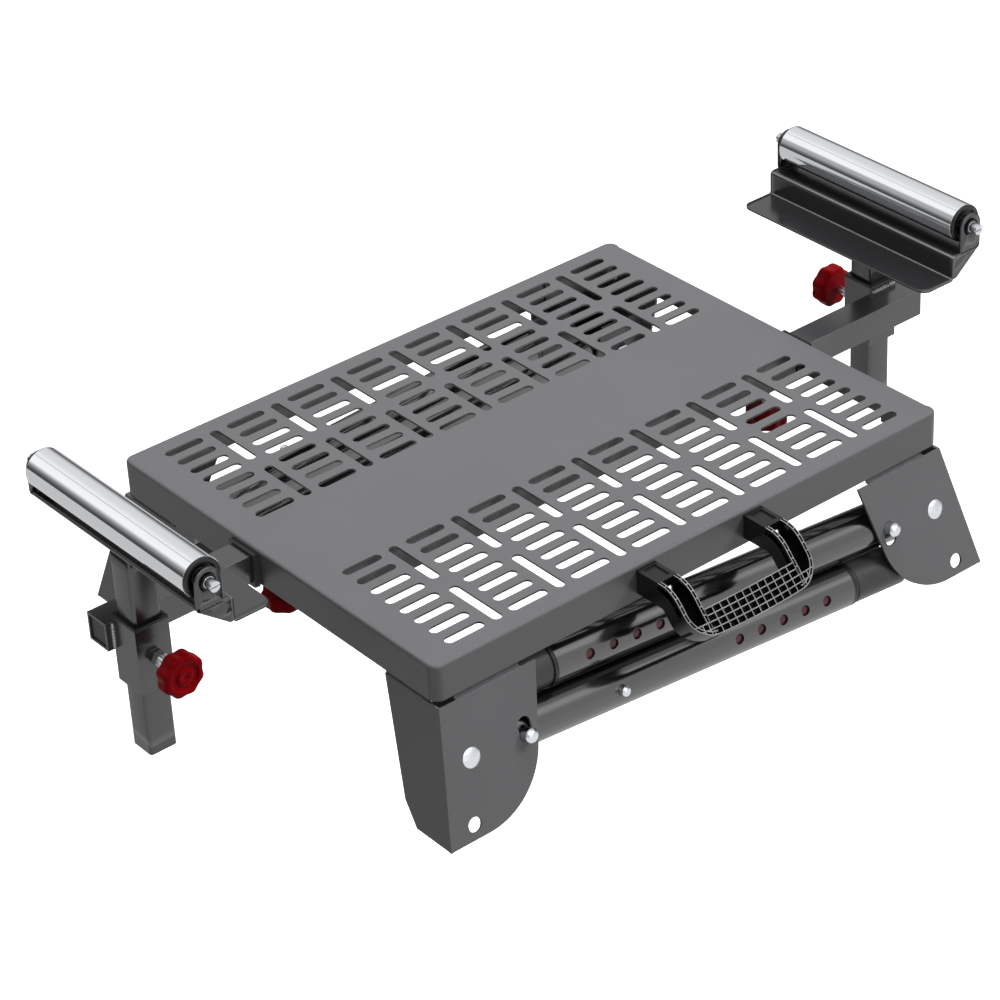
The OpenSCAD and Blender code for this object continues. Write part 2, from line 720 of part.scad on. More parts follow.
// The plugs that close the roller tube and turn on the axle
module roller_caps() color(plastic_black) translate([axle_x, socket_y, axle_z]) rotate([90, 0, 0])
    for (s = [0, 1]) mirror([0, 0, s]) difference() {
        union() {
            translate([0, 0, roller_l / 2 - cap_lip]) cylinder(d = roller_d - roller_wall, h = cap_lip);
            translate([0, 0, roller_l / 2 - cap_plug]) cylinder(d = roller_d - 2 * roller_wall, h = cap_plug);
        }
        translate([0, 0, roller_l / 2 - cap_plug - cut])
            cylinder(d = axle_d + 2 * run_gap, h = cap_plug + 2 * cut);
        translate([0, 0, roller_l / 2 - cap_dish]) difference() {
            cylinder(d = roller_d * cap_dish_share, h = cap_dish + cut);
            translate([0, 0, -cut]) cylinder(d = washer_d, h = cap_dish + 3 * cut);
        }
    }

// A lobed knob, its back on z = 0 and its face at z = knob_t
module knob() {
    lobe_r = knob_d * lobe_share / 2;
    difference() {
        linear_extrude(knob_t) {
            circle(d = knob_d * knob_core_share);
            for (i = [0 : knob_lobes - 1]) rotate(i * 360 / knob_lobes)
                translate([knob_d / 2 - lobe_r, 0]) circle(r = lobe_r);
        }
        translate([0, 0, knob_t - knob_dish]) difference() {
            cylinder(d = knob_d * knob_dish_share, h = knob_dish + cut);
            translate([0, 0, -cut]) cylinder(d = knob_d * knob_hub_share, h = knob_dish + 3 * cut);
        }
    }
}
// Under the platform, with its clamp screw moulded in
module arm_knob() color(knob_red) translate([knob_x, -arm_y, -arm_knob_z]) {
    rotate([180, 0, 0]) knob();
    cylinder(d = stud_d, h = arm_knob_z - arm_z - arm_w / 2 - slide_gap);
}
module post_knob() color(knob_red) translate([socket_x, post_knob_out, -clamp_z]) rotate([-90, 0, 0])
    knob();
module post_stud() color(zinc) translate([socket_x, post_knob_out, -clamp_z]) rotate([90, 0, 0]) {
    cylinder(d = stud_d, h = post_knob_out - socket_y - post_w / 2 - slide_gap);
    translate([0, 0, post_knob_out - jam_nut_h - socket_y - socket_w / 2 - weld_nut_h - slide_gap])
        cylinder(d = nut_af / cos(30), h = jam_nut_h, $fn = 6);
}

// The carry handle: two channelled arms and a gridded grip bar
module handle_side(shares) polygon([for (p = shares) [p[0] * handle_reach, -p[1] * handle_drop]]);
module across(x0, x1) translate([x0, -half_w, -handle_top]) rotate([90, 0, 90])
    mirror([1, 0]) linear_extrude(x1 - x0) children();
module carry_handle() color(plastic_black) intersection() {
    grip_l = handle_l - 2 * handle_arm_w;
    union() {
        for (s = [-1, 1])
            handle_arm(s * handle_screw_x - handle_arm_w / 2, s * handle_screw_x + handle_arm_w / 2);
        difference() {
            across(-grip_l / 2, grip_l / 2) handle_side(bar_shares);
            grip_pockets(grip_l);
        }
    }
    handle_plan(0);
}
module handle_arm(x0, x1) difference() {
    across(x0, x1) handle_side(concat(arm_top_shares, arm_under_shares));
    intersection() {
        across(x0 + handle_rail, x1 - handle_rail) handle_side(channel_shares);
        handle_plan(handle_rail);
    }
    translate([(x0 + x1) / 2, -half_w - handle_reach, -handle_top - screw_drop])
        rotate([-90, 0, 0]) cylinder(d = screw_d + 2 * run_gap, h = handle_reach + cut);
    translate([x0 + handle_rail, -half_w - handle_reach * handle_root_share + handle_rail,
        -handle_top - handle_recess])
        cube([x1 - x0 - 2 * handle_rail, handle_reach * handle_root_share - 2 * handle_rail,
            handle_recess + cut]);
}
// Frame of the grip's open face: X along the grip, -Y down the face, Z out of it
module grip_face() translate([0, -half_w - handle_reach * bar_shares[0][0],
    -handle_top - handle_drop * bar_shares[0][1]]) rotate([atan2(face_rise, face_run), 0, 0]) children();
// Outline of the handle, square to the grip's face, with its outer corners rounded
module handle_plan(inset) {
    low = handle_corner_r - face_l;
    centre_x = handle_l / 2 - handle_corner_r;
    grip_face() linear_extrude(3 * handle_reach, center = true) {
        translate([-handle_l / 2 - cut, low]) square([handle_l + 2 * cut, 2 * handle_reach]);
        translate([-centre_x, -face_l - cut]) square([2 * centre_x, 2 * handle_reach]);
        for (s = [-1, 1]) translate([s * centre_x, low]) circle(r = handle_corner_r - inset + corner_ease);
    }
}
// Pockets sunk square to the grip's open face
module grip_pockets(grip_l) {
    row_h = (face_l - rib_t) / grid_rows;
    column_l = (grip_l + rib_t) / grid_columns;
    grip_face() for (row = [0 : grid_rows - 1], column = [0 : grid_columns - 1])
        translate([column * column_l - grip_l / 2, -rib_t - row * row_h - row_h + rib_t, -grid_depth])
            cube([column_l - rib_t, row_h - rib_t, grid_depth + cut]);
}

// The two screws that hold the handle, with their nuts inside the skirt
module handle_screws() color(zinc) for (s = [-1, 1])
    translate([s * handle_screw_x, -half_w, -handle_top - screw_drop]) rotate([90, 0, 0]) {
        head_z = handle_reach * handle_root_share + handle_rail / 4;
        translate([0, 0, head_z]) dome(screw_head_d, screw_head_h);
        translate([0, 0, -sheet_t - screw_nut_h]) cylinder(d = screw_d, h = head_z + sheet_t + screw_nut_h);
        translate([0, 0, -sheet_t - screw_nut_h]) nut(screw_nut_af, screw_nut_h, screw_d);
    }

platform_tray();
arm_guides();
front_left() bracket();  // bracket_front_left
front_right() bracket();  // bracket_front_right
back_left() bracket();  // bracket_back_left
back_right() bracket();  // bracket_back_right
arm_collars();
carry_handle();
handle_screws();
pivot_bolts();
front_left() lower_leg() leg_tube();  // leg_tube_front_left
front_right() upper_leg() leg_tube();  // leg_tube_front_right
back_left() upper_leg() leg_tube();  // leg_tube_back_left
back_right() lower_leg() leg_tube();  // leg_tube_back_right
front_left() lower_leg() leg_collar();  // leg_collar_front_left
back_right() lower_leg() leg_collar();  // leg_collar_back_right
upper_pair() leg_collar();  // leg_collars_upper
front_left() lower_leg() inner_leg();  // inner_leg_front_left
front_right() upper_leg() inner_leg();  // inner_leg_front_right
back_left() upper_leg() inner_leg();  // inner_leg_back_left
back_right() lower_leg() inner_leg();  // inner_leg_back_right
front_left() lower_leg() foot();  // foot_front_left
front_right() upper_leg() foot();  // foot_front_right
back_left() upper_leg() foot();  // foot_back_left
back_right() lower_leg() foot();  // foot_back_right
front_left() lower_leg() lock_button();  // lock_button_front_left
front_right() upper_leg() lock_button();  // lock_button_front_right
back_left() upper_leg() lock_button();  // lock_button_back_left
back_right() lower_leg() lock_button();  // lock_button_back_right
front_left() lower_leg() snap_button();  // snap_button_front_left
front_right() upper_leg() snap_button();  // snap_button_front_right
back_left() upper_leg() snap_button();  // snap_button_back_left
back_right() lower_leg() snap_button();  // snap_button_back_right
front_left() lower_leg() lock_clip();  // lock_clip_front_left
back_right() lower_leg() lock_clip();  // lock_clip_back_right
upper_pair() lock_clip();  // lock_clips_upper
front_left() lower_leg() snap_clip();  // snap_clip_front_left
front_right() upper_leg() snap_clip();  // snap_clip_front_right
back_left() upper_leg() snap_clip();  // snap_clip_back_left
back_right() lower_leg() snap_clip();  // snap_clip_back_right
right() support_arm();  // support_arm_right
left() support_arm();  // support_arm_left
right() arm_caps();  // arm_caps_right
left() arm_caps();  // arm_caps_left
right() socket_bush();  // socket_bush_right
left() socket_bush();  // socket_bush_left
right() roller_post();  // roller_post_right
left() roller_post();  // roller_post_left
right() roller_axle();  // roller_axle_right
left() roller_axle();  // roller_axle_left
right() roller_tube();  // roller_tube_right
left() roller_tube();  // roller_tube_left
right() roller_caps();  // roller_caps_right
left() roller_caps();  // roller_caps_left
right() arm_knob();  // arm_knob_right
left() arm_knob();  // arm_knob_left
right() post_knob();  // post_knob_right
left() post_knob();  // post_knob_left
right() post_stud();  // post_stud_right
left() post_stud();  // post_stud_left
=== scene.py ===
"""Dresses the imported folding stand: paint, plating and moulded pieces, studio and camera.

Everything is in metres in the stand's own frame: the origin is the centre of the platform's
top face, +X points right, +Y back and +Z up. Sizes in the classes are in millimetres.
"""

from __future__ import annotations

import logging
import math
from dataclasses import dataclass, field
from enum import Enum
from typing import Any, Sequence

import bmesh
import bpy
import numpy as np
from mathutils import Matrix, Vector

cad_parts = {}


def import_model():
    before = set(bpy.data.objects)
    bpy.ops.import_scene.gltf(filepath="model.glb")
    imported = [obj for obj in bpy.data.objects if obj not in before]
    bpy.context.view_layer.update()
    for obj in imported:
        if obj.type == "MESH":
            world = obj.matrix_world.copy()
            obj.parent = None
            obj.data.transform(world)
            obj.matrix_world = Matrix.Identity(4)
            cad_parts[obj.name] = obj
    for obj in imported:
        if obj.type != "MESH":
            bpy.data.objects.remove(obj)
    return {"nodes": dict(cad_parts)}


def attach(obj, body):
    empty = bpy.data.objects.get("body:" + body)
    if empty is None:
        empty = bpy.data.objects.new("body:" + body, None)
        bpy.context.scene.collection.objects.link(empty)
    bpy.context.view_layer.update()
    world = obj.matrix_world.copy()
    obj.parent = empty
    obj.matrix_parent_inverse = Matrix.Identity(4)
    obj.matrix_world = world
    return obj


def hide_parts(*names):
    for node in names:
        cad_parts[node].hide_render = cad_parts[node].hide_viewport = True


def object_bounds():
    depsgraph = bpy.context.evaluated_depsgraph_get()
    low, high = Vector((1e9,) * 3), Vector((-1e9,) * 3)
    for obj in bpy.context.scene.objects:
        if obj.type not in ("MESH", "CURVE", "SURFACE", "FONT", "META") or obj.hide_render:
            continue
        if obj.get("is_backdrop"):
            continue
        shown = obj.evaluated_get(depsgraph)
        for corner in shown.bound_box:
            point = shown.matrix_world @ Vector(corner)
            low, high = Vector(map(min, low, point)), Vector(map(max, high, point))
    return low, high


LOG = logging.getLogger("stand")
MM = 0.001
LEG_REACH = 0.72  # metres that an unfolded, drawn-out leg hangs below the stored stand
ARM_KNOB_BACK = (260.9, -37.0, -66.0)  # right-hand knob's back, in millimetres
POST_KNOB_BACK = (431.0, 41.0, -32.0)
WHITE = (1.0, 1.0, 1.0, 1.0)
NOISE_SPAN = {"From Min": 0.3, "From Max": 0.7}  # part of a noise texture's range that is stretched
Colour = tuple[float, float, float, float]


# ---------------------------------------------------------------- colour and nodes


def linear(hex_colour: str) -> Colour:
    """Turn an sRGB hex colour into linear red, green, blue and alpha.

    Args:
        hex_colour: Six hex digits after a hash, such as "#7a7a7a".

    Returns:
        The linear colour with an alpha of 1.
    """
    digits = hex_colour.lstrip("#")
    share = np.array([int(digits[i : i + 2], 16) for i in (0, 2, 4)]) / 255.0
    value = np.where(share <= 0.04045, share / 12.92, ((share + 0.055) / 1.055) ** 2.4)
    return (float(value[0]), float(value[1]), float(value[2]), 1.0)


def add_node(
    tree: bpy.types.NodeTree,
    kind: str,
    settings: dict[Any, Any] | None = None,
    links: dict[Any, bpy.types.NodeSocket] | None = None,
) -> bpy.types.Node:
    """Add one node with its settings and its incoming links.

    Args:
        tree: The node tree that gets the node.
        kind: The node's type name.
        settings: Values by input name or number, or by attribute name.
        links: Output sockets by the name or number of the input they feed.

    Returns:
        The new node.
    """
    node = tree.nodes.new(kind)
    for key, value in (settings or {}).items():
        if isinstance(key, int) or key in node.inputs:
            node.inputs[key].default_value = value
        else:
            setattr(node, key, value)
    for key, source in (links or {}).items():
        tree.links.new(source, node.inputs[key])
    return node


def new_material(name: str) -> tuple[bpy.types.Material, bpy.types.NodeTree]:
    """Make an empty node material.

    Args:
        name: The finish's name.

    Returns:
        The material and its cleared node tree.
    """
    material = bpy.data.materials.new(name)
    material.use_nodes = True
    material.node_tree.nodes.clear()
    return material, material.node_tree


def edge_mask(tree: bpy.types.NodeTree, radius_mm: float) -> tuple[bpy.types.Node, bpy.types.Node]:
    """Round the shading over edges, and find how near a point lies to one.

    The mask is 1 minus the dot product of the rounded and the plain normal, stretched to 0..1.

    Args:
        tree: The material's node tree.
        radius_mm: Radius of the rounding.

    Returns:
        The Bevel node and the node whose result is the mask.
    """
    bevel = add_node(tree, "ShaderNodeBevel", {"samples": 6, "Radius": radius_mm * MM})
    plain = add_node(tree, "ShaderNodeNewGeometry")
    dot = add_node(
        tree, "ShaderNodeVectorMath", {"operation": "DOT_PRODUCT"},
        {0: bevel.outputs["Normal"], 1: plain.outputs["Normal"]},
    )
    mask = add_node(
        tree, "ShaderNodeMapRange", {"From Min": 0.995, "From Max": 0.80, "To Min": 0.0, "To Max": 1.0},
        {"Value": dot.outputs["Value"]},
    )
    return bevel, mask


def edge_highlighted_colour(
    tree: bpy.types.NodeTree, finish: PowderCoat | MouldedPlastic, level: bpy.types.NodeSocket, mask: bpy.types.Node
) -> bpy.types.NodeSocket:
    """Scale a finish's colour by a level, and mix in its painted edge highlight colour where the mask shows an edge.

    Args:
        tree: The material's node tree.
        finish: The finish, with its colour, edge highlight colour and edge highlight share.
        level: The factor on the colour.
        mask: The edge mask's node.

    Returns:
        The mixed colour.
    """
    tone = add_node(
        tree, "ShaderNodeVectorMath", {"operation": "SCALE", 0: linear(finish.colour)[:3]}, {"Scale": level}
    )
    share = add_node(tree, "ShaderNodeMath", {"operation": "MULTIPLY", 1: finish.edge_highlight_share}, {0: mask.outputs[0]})
    # the edge colour paints a highlight along the edges
    mixed = add_node(
        tree, "ShaderNodeMix", {"data_type": "RGBA", 7: linear(finish.edge_highlight_colour)},
        {0: share.outputs[0], 6: tone.outputs[0]},
    )
    return mixed.outputs[2]


def add_surface(
    tree: bpy.types.NodeTree, settings: dict[str, Any], links: dict[str, bpy.types.NodeSocket],
    bevel: bpy.types.Node, height: bpy.types.NodeSocket | None = None, depth_mm: float = 0.0,
) -> None:
    """Add the shader on rounded edges and the output, with bump where a height is given.

    Args:
        tree: The material's node tree.
        settings: The shader's values by input name.
        links: The shader's links by input name, apart from the normal.
        bevel: The node that rounds the edges.
        height: The bump's height.
        depth_mm: The bump's depth.
    """
    normal = bevel.outputs["Normal"]
    if height is not None:
        normal = add_node(
            tree, "ShaderNodeBump", {"Strength": 1.0, "Distance": depth_mm * MM}, {"Height": height, "Normal": normal}
        ).outputs[0]
    shader = add_node(tree, "ShaderNodeBsdfPrincipled", settings, {**links, "Normal": normal})
    add_node(tree, "ShaderNodeOutputMaterial", {}, {"Surface": shader.outputs[0]})


def by_ray(
    tree: bpy.types.NodeTree, other: bpy.types.NodeSocket, mirrored: bpy.types.NodeSocket, seen: bpy.types.NodeSocket
) -> bpy.types.NodeSocket:
    """Show the camera, reflections and every other ray a shader each.

    Args:
        tree: The node tree of the stage's floor or of the world.
        other: Shader for bounced light.
        mirrored: Shader for reflections.
        seen: Shader for the camera.

    Returns:
        The chosen shader.
    """
    light = add_node(tree, "ShaderNodeLightPath")
    bounced = add_node(
        tree, "ShaderNodeMixShader", {}, {0: light.outputs["Is Glossy Ray"], 1: other, 2: mirrored}
    )
    return add_node(
        tree, "ShaderNodeMixShader", {}, {0: light.outputs["Is Camera Ray"], 1: bounced.outputs[0], 2: seen}
    ).outputs[0]


@dataclass(frozen=True)
class PowderCoat:
    """Polyester powder coat, sprayed on sheet steel and baked.

    It flows out to a soft gloss with a fine orange peel; a lighter line on its edges is a painted highlight.
    """

    name: str
    colour: str
    edge_highlight_colour: str
    roughness: float = 0.40
    roughness_spread: float = 0.06
    specular: float = 0.5
    ior: float = 1.5
    peel_mm: float = 1.1
    peel_depth_mm: float = 0.012
    mottle_mm: float = 90.0
    mottle_share: float = 0.10
    speck_mm: float = 0.8
    speck_share: float = 0.10
    edge_mm: float = 0.7
    edge_highlight_share: float = 0.5

    def build(self) -> bpy.types.Material:
        """Build the material: mottled colour, painted highlights on the edges, orange peel in the bump."""
        material, tree = new_material(self.name)
        place = add_node(tree, "ShaderNodeTexCoord").outputs["Object"]
        bevel, mask = edge_mask(tree, self.edge_mm)
        mottle, speck, peel = (
            add_node(
                tree, "ShaderNodeTexNoise", {"Scale": 1 / (size * MM), "Detail": detail}, {"Vector": place}
            ).outputs["Fac"]
            for size, detail in ((self.mottle_mm, 3.0), (self.speck_mm, 2.0), (self.peel_mm, 1.0))
        )
        wide, fine = (
            add_node(
                tree, "ShaderNodeMapRange", {**NOISE_SPAN, "To Min": 1 - share, "To Max": 1 + share}, {"Value": noise}
            ).outputs[0]
            for noise, share in ((mottle, self.mottle_share), (speck, self.speck_share))
        )
        level = add_node(tree, "ShaderNodeMath", {"operation": "MULTIPLY"}, {0: wide, 1: fine})
        gloss = add_node(
            tree, "ShaderNodeMapRange",
            {"To Min": self.roughness - self.roughness_spread, "To Max": self.roughness + self.roughness_spread},
            {"Value": mottle},
        )
        add_surface(
            tree, {"IOR": self.ior, "Specular IOR Level": self.specular},
            {"Base Color": edge_highlighted_colour(tree, self, level.outputs[0], mask), "Roughness": gloss.outputs[0]},
            bevel, peel, self.peel_depth_mm,
        )
        return material


@dataclass(frozen=True)
class MouldedPlastic:
    """Injection-moulded plastic with the fine spark grain of its tool.

    The grain breaks highlights up, and a pale line on the sharp ribs is a painted highlight.
    """

    name: str
    colour: str
    edge_highlight_colour: str
    roughness: float = 0.38
    specular: float = 0.5
    grain_mm: float = 0.7
    grain_depth_mm: float = 0.010
    edge_mm: float = 0.6
    edge_highlight_share: float = 0.5
    cloud_mm: float = 30.0
    cloud_share: float = 0.12
    ior: float = 1.48
    smoother: float = 0.05
    rougher: float = 0.08

    def build(self) -> bpy.types.Material:
        """Build the material: clouded colour, painted highlights on the rib edges, spark grain in the bump."""
        material, tree = new_material(self.name)
        place = add_node(tree, "ShaderNodeTexCoord").outputs["Object"]
        bevel, mask = edge_mask(tree, self.edge_mm)
        cloud = add_node(
            tree, "ShaderNodeTexNoise", {"Scale": 1 / (self.cloud_mm * MM), "Detail": 2.0}, {"Vector": place}
        ).outputs["Fac"]
        level = add_node(
            tree, "ShaderNodeMapRange",
            {**NOISE_SPAN, "To Min": 1 - self.cloud_share, "To Max": 1 + self.cloud_share}, {"Value": cloud},
        )
        grain = add_node(tree, "ShaderNodeTexVoronoi", {"Scale": 1 / (self.grain_mm * MM)}, {"Vector": place})
        gloss = add_node(
            tree, "ShaderNodeMapRange",
            {"To Min": self.roughness - self.smoother, "To Max": self.roughness + self.rougher}, {"Value": cloud},
        )
        add_surface(
            tree, {"IOR": self.ior, "Specular IOR Level": self.specular},
            {"Base Color": edge_highlighted_colour(tree, self, level.outputs[0], mask), "Roughness": gloss.outputs[0]},
            bevel, grain.outputs["Distance"], self.grain_depth_mm,
        )
        return material


class PolishLay(Enum):
    """Direction in which fine polishing marks run, as how far they stretch along X, Y and Z."""

    ALONG_Y = (1.0, 30.0, 1.0)
    ALL_ROUND = (1.0, 1.0, 1.0)


@dataclass(frozen=True)
class PlatedMetal:
    """Electroplated steel, such as chrome over a drawn tube or bright zinc on a bolt.

    Chrome mirrors the room with faint drawing lines, and zinc is softer with a cloudy tone.
    """

    name: str
    colour: str
    roughness: float
    roughness_spread: float
    mark_mm: float
    mark_depth_mm: float
    lay: PolishLay = PolishLay.ALL_ROUND
    edge_mm: float = 0.4
    least_roughness: float = 0.02

    def build(self) -> bpy.types.Material:
        """Build the material: metal with stretched polishing marks in gloss and bump."""
        material, tree = new_material(self.name)
        place = add_node(tree, "ShaderNodeTexCoord").outputs["Object"]
        bevel, _ = edge_mask(tree, self.edge_mm)
        stretch = tuple(1 / s for s in self.lay.value)
        laid = add_node(tree, "ShaderNodeMapping", {"Scale": stretch}, {"Vector": place})
        marks = add_node(
            tree, "ShaderNodeTexNoise", {"Scale": 1 / (self.mark_mm * MM), "Detail": 3.0}, {"Vector": laid.outputs[0]}
        ).outputs["Fac"]
        gloss = add_node(
            tree, "ShaderNodeMapRange",
            {**NOISE_SPAN, "To Min": max(self.least_roughness, self.roughness - self.roughness_spread),
             "To Max": self.roughness + self.roughness_spread},
            {"Value": marks},
        )
        add_surface(
            tree, {"Metallic": 1.0, "Base Color": linear(self.colour)}, {"Roughness": gloss.outputs[0]},
            bevel, marks, self.mark_depth_mm,
        )
        return material


@dataclass(frozen=True)
class PinAndWashers:
    """Bright zinc pin with blacked washers, told apart by their distance from the pin's axis.

    The pin glints at its slotted end, and the washers stay a dull dark ring around it. The axis
    and the pin's reach are in metres, as Object coordinates are.
    """

    name: str
    pin_colour: str
    washer_colour: str
    axis_x: float
    axis_z: float
    reach: float
    cloud_mm: float = 1.5
    roughness: tuple[float, float] = (0.18, 0.34)
    edge_mm: float = 0.4

    def build(self) -> bpy.types.Material:
        """Build the material: a metal whose colour and gloss change past the pin's radius."""
        material, tree = new_material(self.name)
        place = add_node(tree, "ShaderNodeTexCoord").outputs["Object"]
        parts = add_node(tree, "ShaderNodeSeparateXYZ", {}, {0: place})
        side = add_node(tree, "ShaderNodeMath", {"operation": "ABSOLUTE"}, {0: parts.outputs["X"]})
        flat = add_node(tree, "ShaderNodeCombineXYZ", {}, {"X": side.outputs[0], "Z": parts.outputs["Z"]})
        far = add_node(tree, "ShaderNodeVectorMath", {"operation": "DISTANCE", 1: (self.axis_x, 0.0, self.axis_z)},
                       {0: flat.outputs[0]})
        ring = add_node(tree, "ShaderNodeMath", {"operation": "GREATER_THAN", 1: self.reach},
                        {0: far.outputs["Value"]})
        tone = add_node(
            tree, "ShaderNodeMix",
            {"data_type": "RGBA", 6: linear(self.pin_colour), 7: linear(self.washer_colour)}, {0: ring.outputs[0]},
        )
        cloud = add_node(tree, "ShaderNodeTexNoise", {"Scale": 1 / (self.cloud_mm * MM)}, {"Vector": place})
        gloss = add_node(
            tree, "ShaderNodeMapRange", {"To Min": self.roughness[0], "To Max": self.roughness[1]},
            {"Value": cloud.outputs["Fac"]},
        )
        bevel, _ = edge_mask(tree, self.edge_mm)
        add_surface(
            tree, {"Metallic": 1.0}, {"Base Color": tone.outputs[2], "Roughness": gloss.outputs[0]}, bevel
        )
        return material


# ---------------------------------------------------------------- finishes of this stand

# Grey polyester powder coat: a satin sheet with a fine peel and a painted pale highlight on its edges
PLATFORM_COAT = PowderCoat("platform_powder_coat", "#5e5e60", "#9a9a9c", roughness=0.36, roughness_spread=0.02,
                           mottle_share=0.03, edge_highlight_share=0.35)
# The same coat on the pressed brackets: a shade lighter and duller
BRACKET_COAT = PowderCoat("bracket_powder_coat", "#666668", "#8c8c8e", roughness=0.42, roughness_spread=0.02,
                          mottle_share=0.04, edge_highlight_share=0.35)
# Dark semi-gloss coat on drawn square tube: soft bands of reflected room. The IOR of this, of
# the shelf's coat and of the legs' enamel is raised to match how strongly they reflect
SUPPORT_COAT = PowderCoat("support_powder_coat", "#303032", "#a6a6a8", roughness=0.22, ior=1.75,
                          peel_depth_mm=0.006, mottle_share=0.04, edge_highlight_share=0.6)
# Dark gloss coat on the folded shelf: dark grey, with painted pale highlight lines where the sheet is cut
SHELF_COAT = PowderCoat("shelf_powder_coat", "#202022", "#b4b4b6", roughness=0.20, ior=1.75,
                        peel_depth_mm=0.004, mottle_share=0.05, edge_highlight_share=0.8)
# The same coat painted pale along the crown of a bend: a painted highlight in a thin light line
BEND_HIGHLIGHT_COAT = PowderCoat("shelf_bend_painted_highlight_coat", "#8c8c8e", "#c8c8ca", roughness=0.34, peel_depth_mm=0.004,
                       mottle_share=0.12, edge_highlight_share=0.3)
# Wet-sprayed gloss enamel on round tube: a crisp black band beside a broad grey one
LEG_ENAMEL = PowderCoat("leg_gloss_enamel", "#101012", "#4a4a4c", roughness=0.14, roughness_spread=0.02,
                        specular=0.5, ior=2.0, peel_mm=4.0, peel_depth_mm=0.004, edge_highlight_share=0.3, speck_share=0.0,
                        mottle_share=0.03)
# Dark red enamel of the inner tubes: shows only as wine-red spots in the height holes
INNER_ENAMEL = PowderCoat("inner_leg_red_enamel", "#480c18", "#7a2634", roughness=0.25, edge_highlight_share=0.2)
# Glass-filled nylon, spark-eroded grain: flat black
BLACK_PLASTIC = MouldedPlastic("black_moulded_nylon", "#0a0a0b", "#4a4a4c", roughness=0.40, edge_highlight_share=0.4)
# Polypropylene handle, textured: swallows light in its pockets
HANDLE_PLASTIC = MouldedPlastic("handle_moulded_polypropylene", "#060607", "#39393b", roughness=0.34,
                                edge_highlight_share=0.35)
# The same plastic painted pale on the tips of its ribs: a painted highlight in thin pale lines
RIB_HIGHLIGHT_PLASTIC = MouldedPlastic("handle_rib_painted_highlight_plastic", "#8b8b8d", "#c4c4c6", roughness=0.42, edge_highlight_share=0.3,
                             cloud_share=0.2)
# Soft polyvinyl boot: slightly glossy mid grey beside the black groove
FOOT_PLASTIC = MouldedPlastic("foot_moulded_vinyl", "#3e3e40", "#4a4a4c", roughness=0.30, specular=0.35,
                              edge_highlight_share=0.3)
# Red moulded nylon of the clamp knobs: deep saturated red, dark in its scallops
KNOB_PLASTIC = MouldedPlastic("knob_red_nylon", "#980210", "#a00812", roughness=0.42, specular=0.08,
                              edge_mm=0.8, edge_highlight_share=0.2)
# Bright zinc on turned steel: pale grey with a cloudy gloss
ZINC_PLATE = PlatedMetal("bright_zinc_plate", "#d3d6da", 0.24, 0.08, 1.2, 0.003)
# The same zinc on the roller's axle, whose washers are blacked: only the pin shines
AXLE_PLATE = PinAndWashers("axle_zinc_and_black_washers", "#cdd0d4", "#2c2c2e", axis_x=0.4377, axis_z=0.0999,
                           reach=0.0054)
# Hard chrome on drawn tube: mirrors the room in long bands
CHROME_PLATE = PlatedMetal("roller_chrome_plate", "#e9ebee", 0.06, 0.02, 0.9, 0.0006, PolishLay.ALONG_Y)
# Ripple and spatter of a fillet weld: rough mid-grey metal
WELD_SKIN = PlatedMetal("weld_bead_blackened_steel", "#8e8e90", 0.36, 0.15, 2.2, 0.25)
Finish = PowderCoat | MouldedPlastic | PlatedMetal | PinAndWashers


class Dresser:
    """Builds each finish once and lays it on the CAD nodes."""

    def __init__(self, nodes: dict[str, bpy.types.Object]) -> None:
        """Keep the frame's nodes by name."""
        self.nodes = nodes
        self.made: dict[str, bpy.types.Material] = {}

    def material(self, finish: Finish) -> bpy.types.Material:
        """Give the finish's material, built on first use."""
        if finish.name not in self.made:
            self.made[finish.name] = finish.build()
        return self.made[finish.name]

    def dress(self, prefixes: Sequence[str], finish: Finish) -> None:
        """Lay a finish on every node whose name starts with one of the prefixes.

        Args:
            prefixes: The starts of the nodes' names.
            finish: The finish that they get.
        """
        for name, node in self.nodes.items():
            if name.startswith(tuple(prefixes)):
                node.data.materials.clear()
                node.data.materials.append(self.material(finish))
                LOG.info("%s: %s", name, finish.name)


def dress_nodes(dresser: Dresser) -> None:
    """Lay the finishes on the carried-over nodes."""
    dresser.dress(["platform_tray"], PLATFORM_COAT)
    dresser.dress(["bracket_", "arm_guides"], BRACKET_COAT)
    dresser.dress(["support_arm"], SUPPORT_COAT)
    dresser.dress(["roller_post"], SHELF_COAT)
    dresser.dress(["leg_tube"], LEG_ENAMEL)
    dresser.dress(["inner_leg"], INNER_ENAMEL)
    dresser.dress(["arm_collars", "leg_collar", "arm_caps", "socket_bush", "roller_caps"], BLACK_PLASTIC)
    dresser.dress(["carry_handle"], HANDLE_PLASTIC)
    dresser.dress(["foot_"], FOOT_PLASTIC)
    dresser.dress(["arm_knob", "post_knob"], KNOB_PLASTIC)
    dresser.dress(["roller_tube"], CHROME_PLATE)
    dresser.dress(["pivot_bolts", "lock_button", "snap_button", "lock_clip", "snap_clip", "post_stud",
                   "handle_screws"], ZINC_PLATE)
    dresser.dress(["roller_axle"], AXLE_PLATE)


# ---------------------------------------------------------------- surfaces


def rotate_half(points: np.ndarray) -> np.ndarray:
    """Turn points half a turn about Z: x and y change sign."""
    return points * np.array([-1.0, -1.0, 1.0])


def spokes(axis: np.ndarray, turn: np.ndarray) -> np.ndarray:
    """Unit vectors square to an axis: cos(turn) times one side plus sin(turn) times the other.

    Args:
        axis: Unit vector along the axis.
        turn: Angles, shape (n,).

    Returns:
        The vectors, shape (n, 3).
    """
    side = np.cross(axis, [0.0, 0.0, 1.0] if abs(axis[2]) < 0.9 else [1.0, 0.0, 0.0])
    side /= np.linalg.norm(side)
    return np.cos(turn)[:, None] * side + np.sin(turn)[:, None] * np.cross(axis, side)


